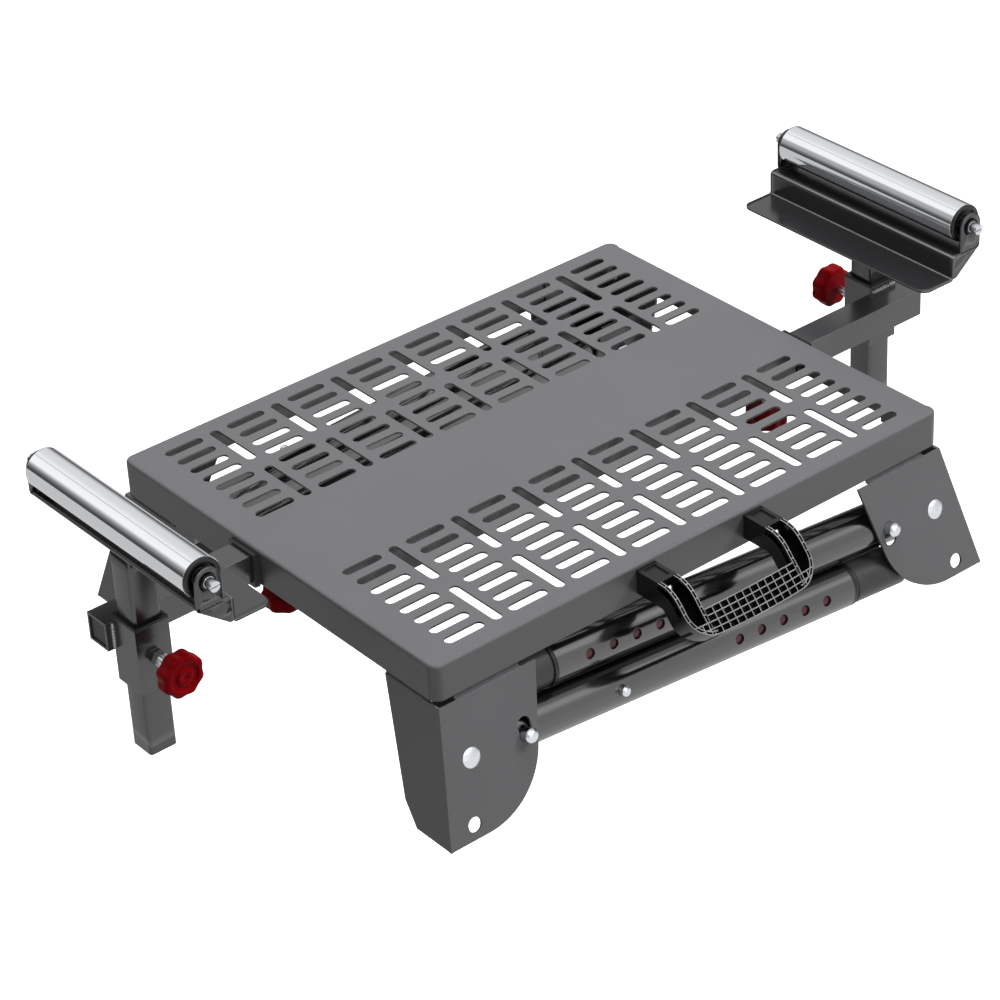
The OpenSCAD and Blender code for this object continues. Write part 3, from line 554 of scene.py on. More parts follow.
def rounded_square(side: float, radius: float, steps: int = 5) -> np.ndarray:
    """Outline of a square with round corners, centred on 0.

    Each corner is a quarter circle about a point that lies one radius in from both sides.

    Args:
        side: Length of a side.
        radius: Corner radius.
        steps: Spans in a corner's arc.

    Returns:
        Points of shape (n, 2), anticlockwise.
    """
    turn = np.linspace(0.0, math.pi / 2, steps + 1)[None, :] + np.arange(4)[:, None] * math.pi / 2
    centre = (side / 2 - radius) * math.sqrt(2) * np.stack(
        [np.cos(np.arange(4) * math.pi / 2 + math.pi / 4), np.sin(np.arange(4) * math.pi / 2 + math.pi / 4)], -1
    )
    return (centre[:, None, :] + radius * np.stack([np.cos(turn), np.sin(turn)], -1)).reshape(-1, 2)


def eased_corners(points: np.ndarray, radii: Sequence[float], steps: int = 6) -> np.ndarray:
    """Round the inner corners of an open line.

    At each corner the arc touches both legs at radius times the tangent of half the turn, and
    its points are the centre plus the radius at evenly spaced angles.

    Args:
        points: Corners of the line, shape (n, 2).
        radii: Radius at each inner corner, n - 2 of them.
        steps: Spans in an arc.

    Returns:
        The rounded line's points, shape (m, 2).
    """
    parts = [points[:1]]
    for corner, before, after, radius in zip(points[1:-1], points[:-2], points[2:], radii):
        to_before = (before - corner) / np.linalg.norm(before - corner)
        to_after = (after - corner) / np.linalg.norm(after - corner)
        half = math.acos(float(np.clip(to_before @ to_after, -1, 1))) / 2
        middle = (to_before + to_after) / np.linalg.norm(to_before + to_after)
        centre = corner + middle * radius / math.sin(half)
        first = corner + to_before * radius / math.tan(half) - centre
        last = corner + to_after * radius / math.tan(half) - centre
        share = np.linspace(0.0, 1.0, steps + 1)[:, None]
        turn = math.pi - 2 * half
        arc = (np.sin((1 - share) * turn) * first + np.sin(share * turn) * last) / math.sin(turn)
        parts.append(centre + arc)
    parts.append(points[-1:])
    return np.concatenate(parts)


class Stock:
    """Collects surfaces in millimetres and turns them into one piece."""

    def __init__(self, name: str) -> None:
        """Start an empty piece."""
        self.name = name
        self.points: list[np.ndarray] = []
        self.faces: list[list[int]] = []
        self.slots: list[int] = []
        self.count = 0

    def grid(self, surface: np.ndarray, wrap: bool = False, caps: bool = False, slot: int = 0,
             column_slots: np.ndarray | None = None) -> None:
        """Add a surface of two parameters.

        Quad (i, j) joins points (i, j), (i, j+1), (i+1, j+1) and (i+1, j).

        Args:
            surface: Points of shape (rows, columns, 3).
            wrap: Whether the last column joins the first.
            caps: Whether the first and last row are closed by a face each.
            slot: Material slot of the faces.
            column_slots: Material slot of each column of faces, instead of one slot.
        """
        rows, columns = surface.shape[:2]
        across = columns if wrap else columns - 1
        i, j = np.meshgrid(np.arange(rows - 1), np.arange(across), indexing="ij")
        k = (j + 1) % columns
        quads = np.stack([i * columns + j, i * columns + k, (i + 1) * columns + k, (i + 1) * columns + j], -1)
        kinds = np.full((rows - 1, across), slot) if column_slots is None else np.tile(column_slots, (rows - 1, 1))
        self.faces += (quads.reshape(-1, 4) + self.count).tolist()
        self.slots += kinds.reshape(-1).tolist()
        if caps:
            ring = np.arange(columns) + self.count
            self.faces += [ring[::-1].tolist(), (ring + (rows - 1) * columns).tolist()]
            self.slots += [slot, slot]
        self.points.append(surface.reshape(-1, 3))
        self.count += rows * columns

    def lathe(self, profile: np.ndarray, centre: np.ndarray, axis: np.ndarray, steps: int = 64,
              slot: int = 0) -> None:
        """Add a turned form: each profile point (radius, height) goes round the axis.

        Args:
            profile: Radius and height of each point, shape (n, 2).
            centre: Point of the axis at height 0.
            axis: Unit vector along the axis.
            steps: Spans round.
            slot: Material slot.
        """
        spoke = spokes(axis, np.linspace(0.0, 2 * math.pi, steps, endpoint=False))
        self.grid(centre + profile[:, None, :1] * spoke[None] + profile[:, None, 1:] * axis, wrap=True, slot=slot)

    def finish(self, materials: Sequence[bpy.types.Material], body: str, slot: str, nodes: Sequence[str] = (),
               crease: float = 32.0, thickness: float = 0.0) -> bpy.types.Object:
        """Make the mesh, close its seams, turn its faces outward and set it on its body.

        Args:
            materials: Materials by slot number.
            body: CAD body that it rides on.
            slot: The record's material slot; not used.
            nodes: CAD nodes that it stands for.
            crease: Angle in degrees past which an edge stays sharp.
            thickness: Thickness in millimetres that a sheet gets, half to each side.

        Returns:
            The piece.
        """
        mesh = bpy.data.meshes.new(self.name)
        mesh.from_pydata((np.concatenate(self.points) * MM).tolist(), [], self.faces)
        for material in materials:
            mesh.materials.append(material)
        mesh.polygons.foreach_set("material_index", self.slots)
        work = bmesh.new()
        work.from_mesh(mesh)
        bmesh.ops.remove_doubles(work, verts=work.verts, dist=1e-6)
        bmesh.ops.dissolve_degenerate(work, edges=work.edges, dist=1e-7)
        bmesh.ops.recalc_face_normals(work, faces=work.faces)
        work.to_mesh(mesh)
        work.free()
        mesh.shade_smooth()
        mesh.set_sharp_from_angle(angle=math.radians(crease))
        piece = bpy.data.objects.new(self.name, mesh)
        bpy.context.scene.collection.objects.link(piece)
        if thickness:
            wall = piece.modifiers.new("sheet", "SOLIDIFY")
            wall.thickness, wall.offset, wall.use_even_offset = thickness * MM, 0.0, True
        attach(piece, body)
        if nodes:
            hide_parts(*nodes)
        LOG.info("%s: %d points on %s", self.name, len(mesh.vertices), body)
        return piece


# ---------------------------------------------------------------- carry handle


@dataclass
class CarryHandle:
    """The handle: two channelled arms that bend down into a gridded grip, with ribbed rails."""

    width: float = 148.0
    arm_width: float = 22.0
    skirt_y: float = -228.0
    top_z: float = -5.0
    bend_start: float = 30.9
    bend_radius: float = 30.0
    bend_angle: float = 48.5
    face_end: float = 92.7
    grip_start: float = 68.8
    channel_start: float = 28.0
    channel_end: float = 80.8
    channel_depth: float = 21.0
    arm_depth: float = 25.6
    grip_depth: float = 15.0
    corner: float = 25.0
    bow: float = 3.5
    rail: float = 4.0
    rail_depth: float = 2.6
    pocket_depth: float = 8.0
    rib: float = 1.1
    tick_pitch: float = 7.6
    grid_rows: int = 4
    grid_columns: int = 12
    under_round: float = 5.0
    bow_start: float = 60.0
    root_start: float = 3.5
    root_end: float = 23.5
    root_depth: float = 1.4
    arm_ease: float = 1.8
    gap: float = 0.02

    @property
    def half(self) -> float:
        """Half the handle's width."""
        return self.width / 2

    @property
    def inner(self) -> float:
        """Distance of an arm's inner side from the middle."""
        return self.half - self.arm_width

    def place(self, x: np.ndarray, s: np.ndarray, depth: np.ndarray) -> np.ndarray:
        """Point at x across, s down the face and depth under it.

        The face is flat, then an arc about the bend's centre, then straight at the bend's angle.
        Towards the grip it also bows out in the middle, as a parabola in x.
        """
        x, s, depth = np.broadcast_arrays(np.asarray(x, float), np.asarray(s, float), np.asarray(depth, float))
        low = np.clip((s - self.bow_start) / (self.face_end - self.bow_start), 0.0, 1.0)
        run = s + self.bow * (1 - (x / self.half) ** 2) * low
        full = math.radians(self.bend_angle)
        turn = np.clip((run - self.bend_start) / self.bend_radius, 0.0, full)
        tail = np.maximum(run - self.bend_start - self.bend_radius * full, 0.0)
        out = np.minimum(run, self.bend_start) + self.bend_radius * np.sin(turn) + tail * math.cos(full)
        down = self.bend_radius * (1 - np.cos(turn)) + tail * math.sin(full)
        return np.stack([x, self.skirt_y - out + depth * np.sin(turn), self.top_z - down - depth * np.cos(turn)], -1)

    def edge_x(self, s: np.ndarray) -> np.ndarray:
        """Outer side at s: straight, then the corner's quarter circle."""
        past = np.clip(s - (self.face_end - self.corner), 0.0, self.corner)
        return self.half - self.corner + np.sqrt(self.corner**2 - past**2)

    def end_s(self, x: np.ndarray) -> np.ndarray:
        """Lower end of the face at x: straight, then the corner's quarter circle."""
        past = np.clip(np.abs(x) - (self.half - self.corner), 0.0, self.corner)
        return self.face_end - self.corner + np.sqrt(self.corner**2 - past**2)

    def arm(self, stock: Stock, side: float) -> None:
        """Add an arm: a channel section carried down the face, with the root block's recess."""
        bend = np.linspace(self.channel_start, self.channel_end, 44)
        root = [0.0, self.root_start, self.root_start, self.root_end, self.root_end, self.channel_start]
        root_floor = [self.gap, self.gap, self.root_depth, self.root_depth, self.gap, self.gap]
        run = np.concatenate([root, bend])
        step = np.concatenate([np.zeros(len(root)), np.full(bend.size, self.rail_depth)])
        floor = np.concatenate([root_floor, np.full(bend.size, self.channel_depth)])
        outer, inner = self.edge_x(run), np.full(run.size, self.inner)
        deep = np.full(run.size, self.arm_depth)
        ease = self.arm_ease
        across = np.stack([inner, inner, inner + ease, outer - ease, outer, outer, outer - self.rail,
                           outer - self.rail, inner + self.rail, inner + self.rail], -1)
        under = np.stack([step, deep - ease, deep, deep, deep - ease, step, step, floor, floor, step], -1)
        stock.grid(self.place(side * across, run[:, None], under), wrap=True, caps=True)

    def grip(self, stock: Stock) -> None:
        """Add the grip: a section in the plane across the grip, carried from side to side."""
        reach = float(self.edge_x(np.array(self.channel_end)))
        ends = reach - (reach - self.inner) * np.cos(np.linspace(0, math.pi / 2, 14))[::-1]
        side = np.sort(np.concatenate([ends[1:], [self.inner]]))
        middle = np.linspace(-self.inner, self.inner, 27)
        x = np.concatenate([-side[::-1], middle, side])
        in_arm = np.concatenate([np.ones(side.size, bool), np.zeros(middle.size, bool), np.ones(side.size, bool)])
        start = np.where(in_arm, self.channel_end, self.grip_start)
        deep = np.where(in_arm, self.arm_depth, self.grip_depth)
        end = np.maximum(self.end_s(x), start + self.gap)
        ease = np.minimum(self.under_round, (end - start) / 2)
        turn = np.linspace(0.0, math.pi / 2, 6)
        low_s = (end - ease)[:, None] + ease[:, None] * np.cos(turn)
        low_d = (deep - self.under_round)[:, None] + self.under_round * np.sin(turn)
        s = np.concatenate([start[:, None], end[:, None], low_s, start[:, None]], 1)
        d = np.concatenate([np.full((x.size, 2), self.pocket_depth), low_d, deep[:, None]], 1)
        stock.grid(self.place(x[:, None], s, d), wrap=True, caps=True)

    def add_rib(self, stock: Stock, x: np.ndarray, s: np.ndarray, height: float) -> None:
        """Add a rib: a small eased section carried along a line on the face.

        The section's across direction is the line's tangent crossed with the face's normal.
        """
        width = self.rib
        top = self.place(x, s, np.zeros_like(s))
        down = self.place(x, s, np.ones_like(s)) - top
        along = np.gradient(top, axis=0)
        along /= np.linalg.norm(along, axis=1)[:, None]
        across = np.cross(down, along)
        ease = 0.25
        w = np.array([-0.5, -0.5, -0.5 + ease, 0.5 - ease, 0.5, 0.5]) * width
        h = np.array([height, ease * width, 0.0, 0.0, ease * width, height])
        surface = top[:, None] + across[:, None] * w[:, None] + down[:, None] * h[:, None]
        # slot 1, the rib's top and eased corners, gets the painted highlight; its sides stay black
        stock.grid(surface, wrap=True, caps=True, column_slots=np.array([0, 1, 1, 1, 0, 0]))

    def rim_line(self, inset: float, reach_in: float) -> tuple[np.ndarray, np.ndarray]:
        """Line that follows the outer edge at an inset, from the root to x = reach_in."""
        radius = self.corner - inset
        turn = np.linspace(0.0, math.pi / 2, 22)
        run = np.linspace(self.channel_start, self.face_end - self.corner, 26)[:-1]
        x = np.concatenate([np.full(run.size, self.half - inset), self.half - self.corner + radius * np.cos(turn),
                            np.linspace(self.half - self.corner, reach_in, 12)[1:]])
        s = np.concatenate([run, self.face_end - self.corner + radius * np.sin(turn),
                            np.full(11, self.face_end - inset)])
        return x, s

    def ribs(self, stock: Stock) -> None:
        """Add the rails' double lines with their ticks, and the grip's grid."""
        half_rib = self.rib / 2
        for side in (-1.0, 1.0):
            x, s = self.rim_line(half_rib, 0.0)
            self.add_rib(stock, side * x, s, self.pocket_depth)
            x, s = self.rim_line(self.rail - half_rib, self.inner)
            self.add_rib(stock, side * x, s, self.rail_depth)
            run = np.linspace(self.channel_start, self.face_end - half_rib, 40)
            for x_line in (self.inner + half_rib, self.inner + self.rail - half_rib):
                stop = run[run < self.end_s(np.array(x_line)) - 0.3]
                self.add_rib(stock, np.full(stop.size, side * x_line), stop, self.rail_depth + 5.0)
            for s_tick in np.arange(self.channel_start + self.tick_pitch, self.channel_end, self.tick_pitch):
                outer = float(self.edge_x(np.array(s_tick)))
                for x0, x1 in ((outer - self.rail + self.rib, outer - self.rib),
                               (self.inner + self.rib, self.inner + self.rail - self.rib)):
                    self.add_rib(stock, side * np.linspace(x0 - 0.2, x1 + 0.2, 3), np.full(3, s_tick), self.rail_depth)
        pitch = (self.face_end - self.grip_start - self.rib) / self.grid_rows
        for row in range(self.grid_rows):
            s_row = self.grip_start + half_rib + row * pitch
            reach = self.inner if row < 2 else float(self.edge_x(np.array(s_row))) - half_rib
            x = np.linspace(-reach, reach, 41)
            self.add_rib(stock, x, np.full(x.size, s_row), self.pocket_depth)
        column = (2 * self.inner + self.rib) / self.grid_columns
        for x_line in (np.arange(-2, self.grid_columns + 3)) * column - self.inner - half_rib:
            start = self.grip_start if abs(x_line) < self.inner + 1 else self.channel_end
            s = np.linspace(start + half_rib, float(self.end_s(np.array(x_line))) - half_rib, 6)
            if s[-1] - s[0] > 2.0:
                self.add_rib(stock, np.full(6, x_line), s, self.pocket_depth)

    def build(self, dresser: Dresser) -> None:
        """Build the handle as one moulding."""
        stock = Stock("handle_moulding")
        for side in (-1.0, 1.0):
            self.arm(stock, side)
        self.grip(stock)
        self.ribs(stock)
        stock.finish([dresser.material(HANDLE_PLASTIC), dresser.material(RIB_HIGHLIGHT_PLASTIC)], "platform",
                     "black_plastic", ["carry_handle"], crease=28.0)


# ---------------------------------------------------------------- knobs


@dataclass
class ClampKnob:
    """A scalloped knob: a polar surface whose radius dips between the lobes."""

    name: str
    body: str
    node: str
    back: tuple[float, float, float]
    axis: tuple[float, float, float]
    radius: float = 21.4
    thickness: float = 16.0
    lobes: int = 8
    scallop: float = 0.085
    screw_length: float = 0.0
    screw_radius: float = 4.0
    thread_pitch: float = 1.25
    thread_depth: float = 0.35
    screw_tip: float = 1.5
    fade_start: float = 0.66
    fade_span: float = 0.28
    fade_power: float = 1.2

    def meridian(self) -> np.ndarray:
        """Half section from the back's centre to the face's centre, as radius and height shares."""
        return np.array([
            (0.0, 0.0), (0.30, 0.0), (0.66, 0.0), (0.80, 0.0), (0.90, 0.025), (0.96, 0.075), (0.99, 0.15), (1.0, 0.25),
            (1.0, 0.45), (1.0, 0.62), (0.995, 0.74), (0.98, 0.84), (0.945, 0.92), (0.89, 0.975), (0.82, 1.0),
            (0.70, 1.0), (0.665, 0.99), (0.645, 0.95), (0.64, 0.90), (0.61, 0.875), (0.40, 0.875), (0.37, 0.90),
            (0.365, 0.95), (0.35, 0.985), (0.32, 1.0), (0.14, 1.0), (0.12, 0.98), (0.11, 0.95), (0.0, 0.95),
        ])

    def build(self, dresser: Dresser) -> None:
        """Build the knob, and its moulded-in screw where it has one.

        Radius = meridian radius times 1 - scallop * (1 + cos(lobes * angle)) / 2, faded out
        towards the middle.
        """
        section = self.meridian()
        turn = np.linspace(0.0, 2 * math.pi, self.lobes * 20, endpoint=False)
        dip = self.scallop * (0.5 + 0.5 * np.cos(self.lobes * turn))
        fade = np.clip((section[:, 0] - self.fade_start) / self.fade_span, 0.0, 1.0) ** self.fade_power
        radius = self.radius * section[:, :1] * (1 - fade[:, None] * dip[None])
        height = self.thickness * np.broadcast_to(section[:, 1:], radius.shape)
        axis = np.array(self.axis)
        spoke = spokes(axis, turn)
        stock = Stock(self.name)
        stock.grid(np.array(self.back) + radius[..., None] * spoke[None] + height[..., None] * axis, wrap=True)
        if self.screw_length:
            r, end = self.screw_radius, -self.screw_length
            pitch = np.arange(0.0, self.screw_length - self.screw_tip, self.thread_pitch / 2)
            thread = np.stack([r - self.thread_depth * (np.arange(pitch.size) % 2), -pitch], -1)
            profile = np.concatenate([[(0.0, 1.0), (r, 1.0)], thread, [(r - 1.0, end), (0.0, end)]])
            stock.lathe(profile, np.array(self.back), axis, 32, slot=1)
        stock.finish([dresser.material(KNOB_PLASTIC), dresser.material(ZINC_PLATE)], self.body, "red_plastic",
                     [self.node], crease=40.0)


# ---------------------------------------------------------------- roller supports


@dataclass
class RollerSupport:
    """The pieces of one roller support: folded shelf, ears, post, weld beads, collar and end caps."""

    side: str
    post_x: float = 431.0
    post_y: float = -5.5
    post_top: float = 73.0
    post_length: float = 207.0
    post_width: float = 28.0
    sheet: float = 2.0
    step_x: float = 415.0
    ledge_z: float = 75.0
    step_height: float = 24.0
    ledge: float = 35.0
    lip: float = 3.0
    flange: float = 38.4
    flange_corner: float = 10.0
    shelf_half: float = 124.5
    bend: float = 3.2
    axle_x: float = 437.7
    axle_z: float = 99.9
    axle_radius: float = 5.06
    ear_radius: float = 13.0
    roller_length: float = 236.0
    roller_radius: float = 18.8
    arm_y: float = -37.0
    arm_z: float = -20.5
    arm_width: float = 28.0
    skirt_x: float = 297.5
    socket: float = 35.0
    lip_bend: float = 1.6
    weld_ripple: float = 0.16
    weld_pitch: float = 3.4
    weld_unevenness: float = 0.05

    def put(self, surface: np.ndarray) -> np.ndarray:
        """Leave a right-hand surface, or turn it to the left side."""
        return surface if self.side == "right" else rotate_half(surface)

    def shelf(self, stock: Stock) -> None:
        """Add the shelf's middle surface: the folded line carried along Y.

        Near the flange's free edge the length follows the corner's quarter circle.
        """
        t = self.sheet / 2
        corners = np.array([
            (self.step_x - self.flange, self.ledge_z - self.step_height - t),
            (self.step_x + t, self.ledge_z - self.step_height - t),
            (self.step_x + t, self.ledge_z - t),
            (self.step_x + self.ledge - t, self.ledge_z - t),
            (self.step_x + self.ledge - t, self.ledge_z + self.lip),
        ])
        arc = 9  # points in the free edge's curve and in each bend
        line = eased_corners(corners, [self.bend, self.bend, self.lip_bend], arc - 1)
        free = corners[0, 0] + self.flange_corner * (1 - np.cos(np.linspace(0, math.pi / 2, arc)))
        line = np.concatenate([np.stack([free, np.full(arc, corners[0, 1])], -1), line[1:]])
        into = np.clip(self.flange_corner - (line[:, 0] - corners[0, 0]), 0.0, self.flange_corner)
        half = self.shelf_half - self.flange_corner + np.sqrt(self.flange_corner**2 - into**2)
        share = np.linspace(-1.0, 1.0, 41)[:, None]
        y = self.post_y + half * share
        x, z = np.broadcast_to(line[:, 0], y.shape), np.broadcast_to(line[:, 1], y.shape)
        crown = np.zeros(len(line) - 1, int)
        for first in (arc, 2 * arc):  # the middle faces of both wide bends get a painted highlight
            crown[first + 3 : first + 5] = 1
        stock.grid(self.put(np.stack([x, y, z], -1)), column_slots=crown)

    def ears(self, stock: Stock) -> None:
        """Add both ears: a ring between the axle's hole and the ear's outline, point for point."""
        turn = np.linspace(0.0, 2 * math.pi, 73)
        ux, uz = np.cos(turn), np.sin(turn)
        drop = self.axle_z - self.ledge_z + self.sheet / 2
        wide = np.where(uz < 0, np.minimum(self.ear_radius / np.maximum(np.abs(ux), 1e-6),
                                           drop / np.maximum(-uz, 1e-6)), self.ear_radius)
        hole = np.stack([self.axle_x + self.axle_radius * ux, self.axle_z + self.axle_radius * uz], -1)
        rim = np.stack([self.axle_x + wide * ux, self.axle_z + wide * uz], -1)
        t = self.sheet
        low = self.ledge_z - self.step_height
        gusset = np.array([[(self.step_x + t, self.ledge_z - t), (self.step_x + self.ledge - t, self.ledge_z - t)],
                           [(self.step_x + t, low), (self.step_x + t + 3.0, low)]])
        for end in (-1.0, 1.0):
            y = self.post_y + end * (self.shelf_half - t / 2)
            for flat in (np.stack([hole, rim]), gusset):
                stock.grid(self.put(np.insert(flat, 1, y, axis=-1)))

    def post(self, stock: Stock) -> None:
        """Add the post's middle surface: a rounded square carried down Z."""
        loop = rounded_square(self.post_width - self.sheet, 2.2)
        z = np.linspace(self.post_top, self.post_top - self.post_length, 12)
        points = np.stack([
            np.broadcast_to(self.post_x + loop[:, 0], (z.size, len(loop))),
            np.broadcast_to(self.post_y + loop[:, 1], (z.size, len(loop))),
            np.broadcast_to(z[:, None], (z.size, len(loop))),
        ], -1)
        stock.grid(self.put(points), wrap=True)

    def bead(self, stock: Stock, start: Sequence[float], end: Sequence[float], radius: float, seed: int) -> None:
        """Add a weld bead: a tube whose radius ripples along it and closes at both ends.

        Radius = size * end fade * (1 + ripple * sine along the bead + a little seeded unevenness).
        """
        first, last = np.array(start, float), np.array(end, float)
        length = float(np.linalg.norm(last - first))
        share = np.linspace(0.0, 1.0, max(16, int(length * 1.6)))
        rough = np.random.default_rng(seed).normal(0.0, self.weld_unevenness, share.size)
        fade = np.sqrt(np.clip(1 - (2 * share - 1) ** 8, 0.0, 1.0))
        wave = np.sin(share * length * 2 * math.pi / self.weld_pitch)
        size = radius * fade * (1 + self.weld_ripple * wave + rough)
        spoke = spokes((last - first) / length, np.linspace(0.0, 2 * math.pi, 14, endpoint=False))
        middle = first + share[:, None] * (last - first)
        stock.grid(self.put(middle[:, None] + size[:, None, None] * spoke[None]), wrap=True)

    def welds(self, dresser: Dresser) -> None:
        """Build the beads along the socket's joint with the arm, and those under the shelf."""
        stock = Stock(f"socket_welds_{self.side}")
        seam_y = self.arm_y + self.arm_width / 2
        top, bottom = self.arm_z + self.arm_width / 2, self.arm_z - self.arm_width / 2
        x0, x1 = self.post_x - self.socket / 2, self.post_x + self.socket / 2
        for start, end, radius, seed in (
            ((x0 + 1, seam_y, top), (x1 - 1, seam_y, top), 3.3, 3),
            ((x0 + 1, seam_y, bottom), (x1 - 1, seam_y, bottom), 2.2, 5),
            ((x0, seam_y, top - 1), (x0, seam_y, bottom + 1), 2.2, 7),
            ((x1, seam_y, top - 1), (x1, seam_y, bottom + 1), 2.2, 9),
        ):
            self.bead(stock, start, end, radius, seed)
        stock.finish([dresser.material(WELD_SKIN)], f"arm_{self.side}", "support_paint", crease=60.0)
        under = Stock(f"shelf_welds_{self.side}")
        half = self.post_width / 2
        foot = self.post_top - 0.4
        for dy in (-half, half):
            self.bead(under, (self.post_x - half + 2, self.post_y + dy, foot),
                      (self.post_x + half - 2, self.post_y + dy, foot), 1.8, 11)
        under.finish([dresser.material(WELD_SKIN)], f"post_{self.side}", "support_paint", crease=60.0)

    def caps(self, dresser: Dresser) -> None:
        """Build the roller's end plugs: turned forms with a rounded rim, a dish and a hub."""
        stock = Stock(f"roller_plugs_{self.side}")
        r, inside, end = self.roller_radius, self.roller_radius - 1.5, self.roller_length / 2
        profile = np.array([
            (self.axle_radius, end - 12), (inside, end - 12), (inside, end - 2.5), (r - 0.7, end - 2.5),
            (r - 0.5, end - 2.0), (r - 0.6, end - 1.0), (r - 1.2, end - 0.3), (r - 2.2, end), (14.2, end),
            (13.7, end - 0.3), (13.5, end - 2.6), (12.9, end - 3.0), (8.8, end - 3.0), (8.2, end - 2.6),
            (8.0, end - 0.4), (7.6, end), (self.axle_radius + 0.5, end), (self.axle_radius, end - 0.4),
            (self.axle_radius, end - 12),
        ])
        centre = self.put(np.array([self.axle_x, self.post_y, self.axle_z]))
        for way in (-1.0, 1.0):
            stock.lathe(profile, centre, np.array([0.0, way, 0.0]), 96)
        stock.finish([dresser.material(BLACK_PLASTIC)], f"roller_{self.side}", "black_plastic",
                     [f"roller_caps_{self.side}"], crease=30.0)

    def collar(self, stock: Stock) -> None:
        """Add a collar: a rounded square carried along X, its size stepping over the ridges.

        The section goes out along the outside, over the ridges, and back along the bore.
        """
        bore = self.arm_width + 0.6
        x, size = np.array([
            (-12.0, bore), (-12.0, 34.8), (0.0, 34.8), (0.0, 38.0), (0.7, 38.4), (1.2, 38.0), (1.5, 36.6), (1.9, 36.6),
            (2.4, 38.0), (2.7, 36.6), (3.1, 36.6), (3.6, 38.0), (3.9, 36.6), (4.3, 36.6), (4.8, 37.6), (5.1, 36.6),
            (5.1, bore), (-12.0, bore),
        ]).T
        unit = rounded_square(1.0, 0.09)
        loop = unit[None] * size[:, None, None]
        points = np.stack([
            np.broadcast_to(self.skirt_x + x[:, None], loop.shape[:2]), self.arm_y + loop[..., 0],
            self.arm_z + np.minimum(loop[..., 1], 16.4),
        ], -1)
        stock.grid(self.put(points), wrap=True)

    def build(self, dresser: Dresser) -> None:
        """Build the support's own pieces."""
        folded = Stock(f"shelf_and_post_{self.side}")
        self.shelf(folded)
        self.ears(folded)
        self.post(folded)
        folded.finish([dresser.material(SHELF_COAT), dresser.material(BEND_HIGHLIGHT_COAT)], f"post_{self.side}", "support_paint",
                      [f"roller_post_{self.side}"], crease=35.0, thickness=self.sheet)
        self.welds(dresser)
        self.caps(dresser)


# ---------------------------------------------------------------- studio and camera


@dataclass(frozen=True)
class PhotoCamera:
    """The photograph's camera, solved from the platform's slots and edges."""

    place_mm: tuple[float, float, float] = (-1652.9, -2060.9, 1623.6)
    azimuth: float = -38.049
    elevation: float = 32.667
    roll: float = -3.0935
    focal_px: float = 3386.7
    frame_px: float = 1000.0
    sensor_mm: float = 36.0

    def build(self) -> bpy.types.Object:
        """Set up the camera and make it the scene's.

        Returns:
            The camera object.
        """
        azimuth, elevation, roll = map(math.radians, (self.azimuth, self.elevation, self.roll))
        back = Vector((math.sin(azimuth) * math.cos(elevation), -math.cos(azimuth) * math.cos(elevation),
                       math.sin(elevation)))
        right = Vector((0, 0, 1)).cross(back).normalized()
        up = back.cross(right)
        right_turned = math.cos(roll) * right + math.sin(roll) * up
        up_turned = -math.sin(roll) * right + math.cos(roll) * up
        data = bpy.data.cameras.new("photo_camera")
        data.sensor_width = self.sensor_mm
        data.lens = self.focal_px / self.frame_px * self.sensor_mm
        data.clip_start, data.clip_end = 0.05, 50.0
        camera = bpy.data.objects.new("photo_camera", data)
        bpy.context.scene.collection.objects.link(camera)
        turn = Matrix((right_turned, up_turned, back)).transposed().to_4x4()
        camera.matrix_world = Matrix.Translation(Vector(self.place_mm) * MM) @ turn
        bpy.context.scene.camera = camera
        return camera


@dataclass(frozen=True)
class SoftBox:
    """One large soft studio light."""

    name: str
    place: tuple[float, float, float]
    aim: tuple[float, float, float]
    size: tuple[float, float]
    power: float

    def build(self) -> bpy.types.Object:
        """Hang the light and aim it.

        Returns:
            The light object.
        """
        data = bpy.data.lights.new(self.name, "AREA")
        data.shape = "RECTANGLE"
        data.size, data.size_y = self.size
        data.energy = self.power
        light = bpy.data.objects.new(self.name, data)
        light.visible_glossy = False  # reflections come from the room's own bands
        bpy.context.scene.collection.objects.link(light)
        look = Vector(self.aim) - Vector(self.place)
        light.matrix_world = Matrix.Translation(Vector(self.place)) @ look.to_track_quat("-Z", "Y").to_matrix().to_4x4()
        return light


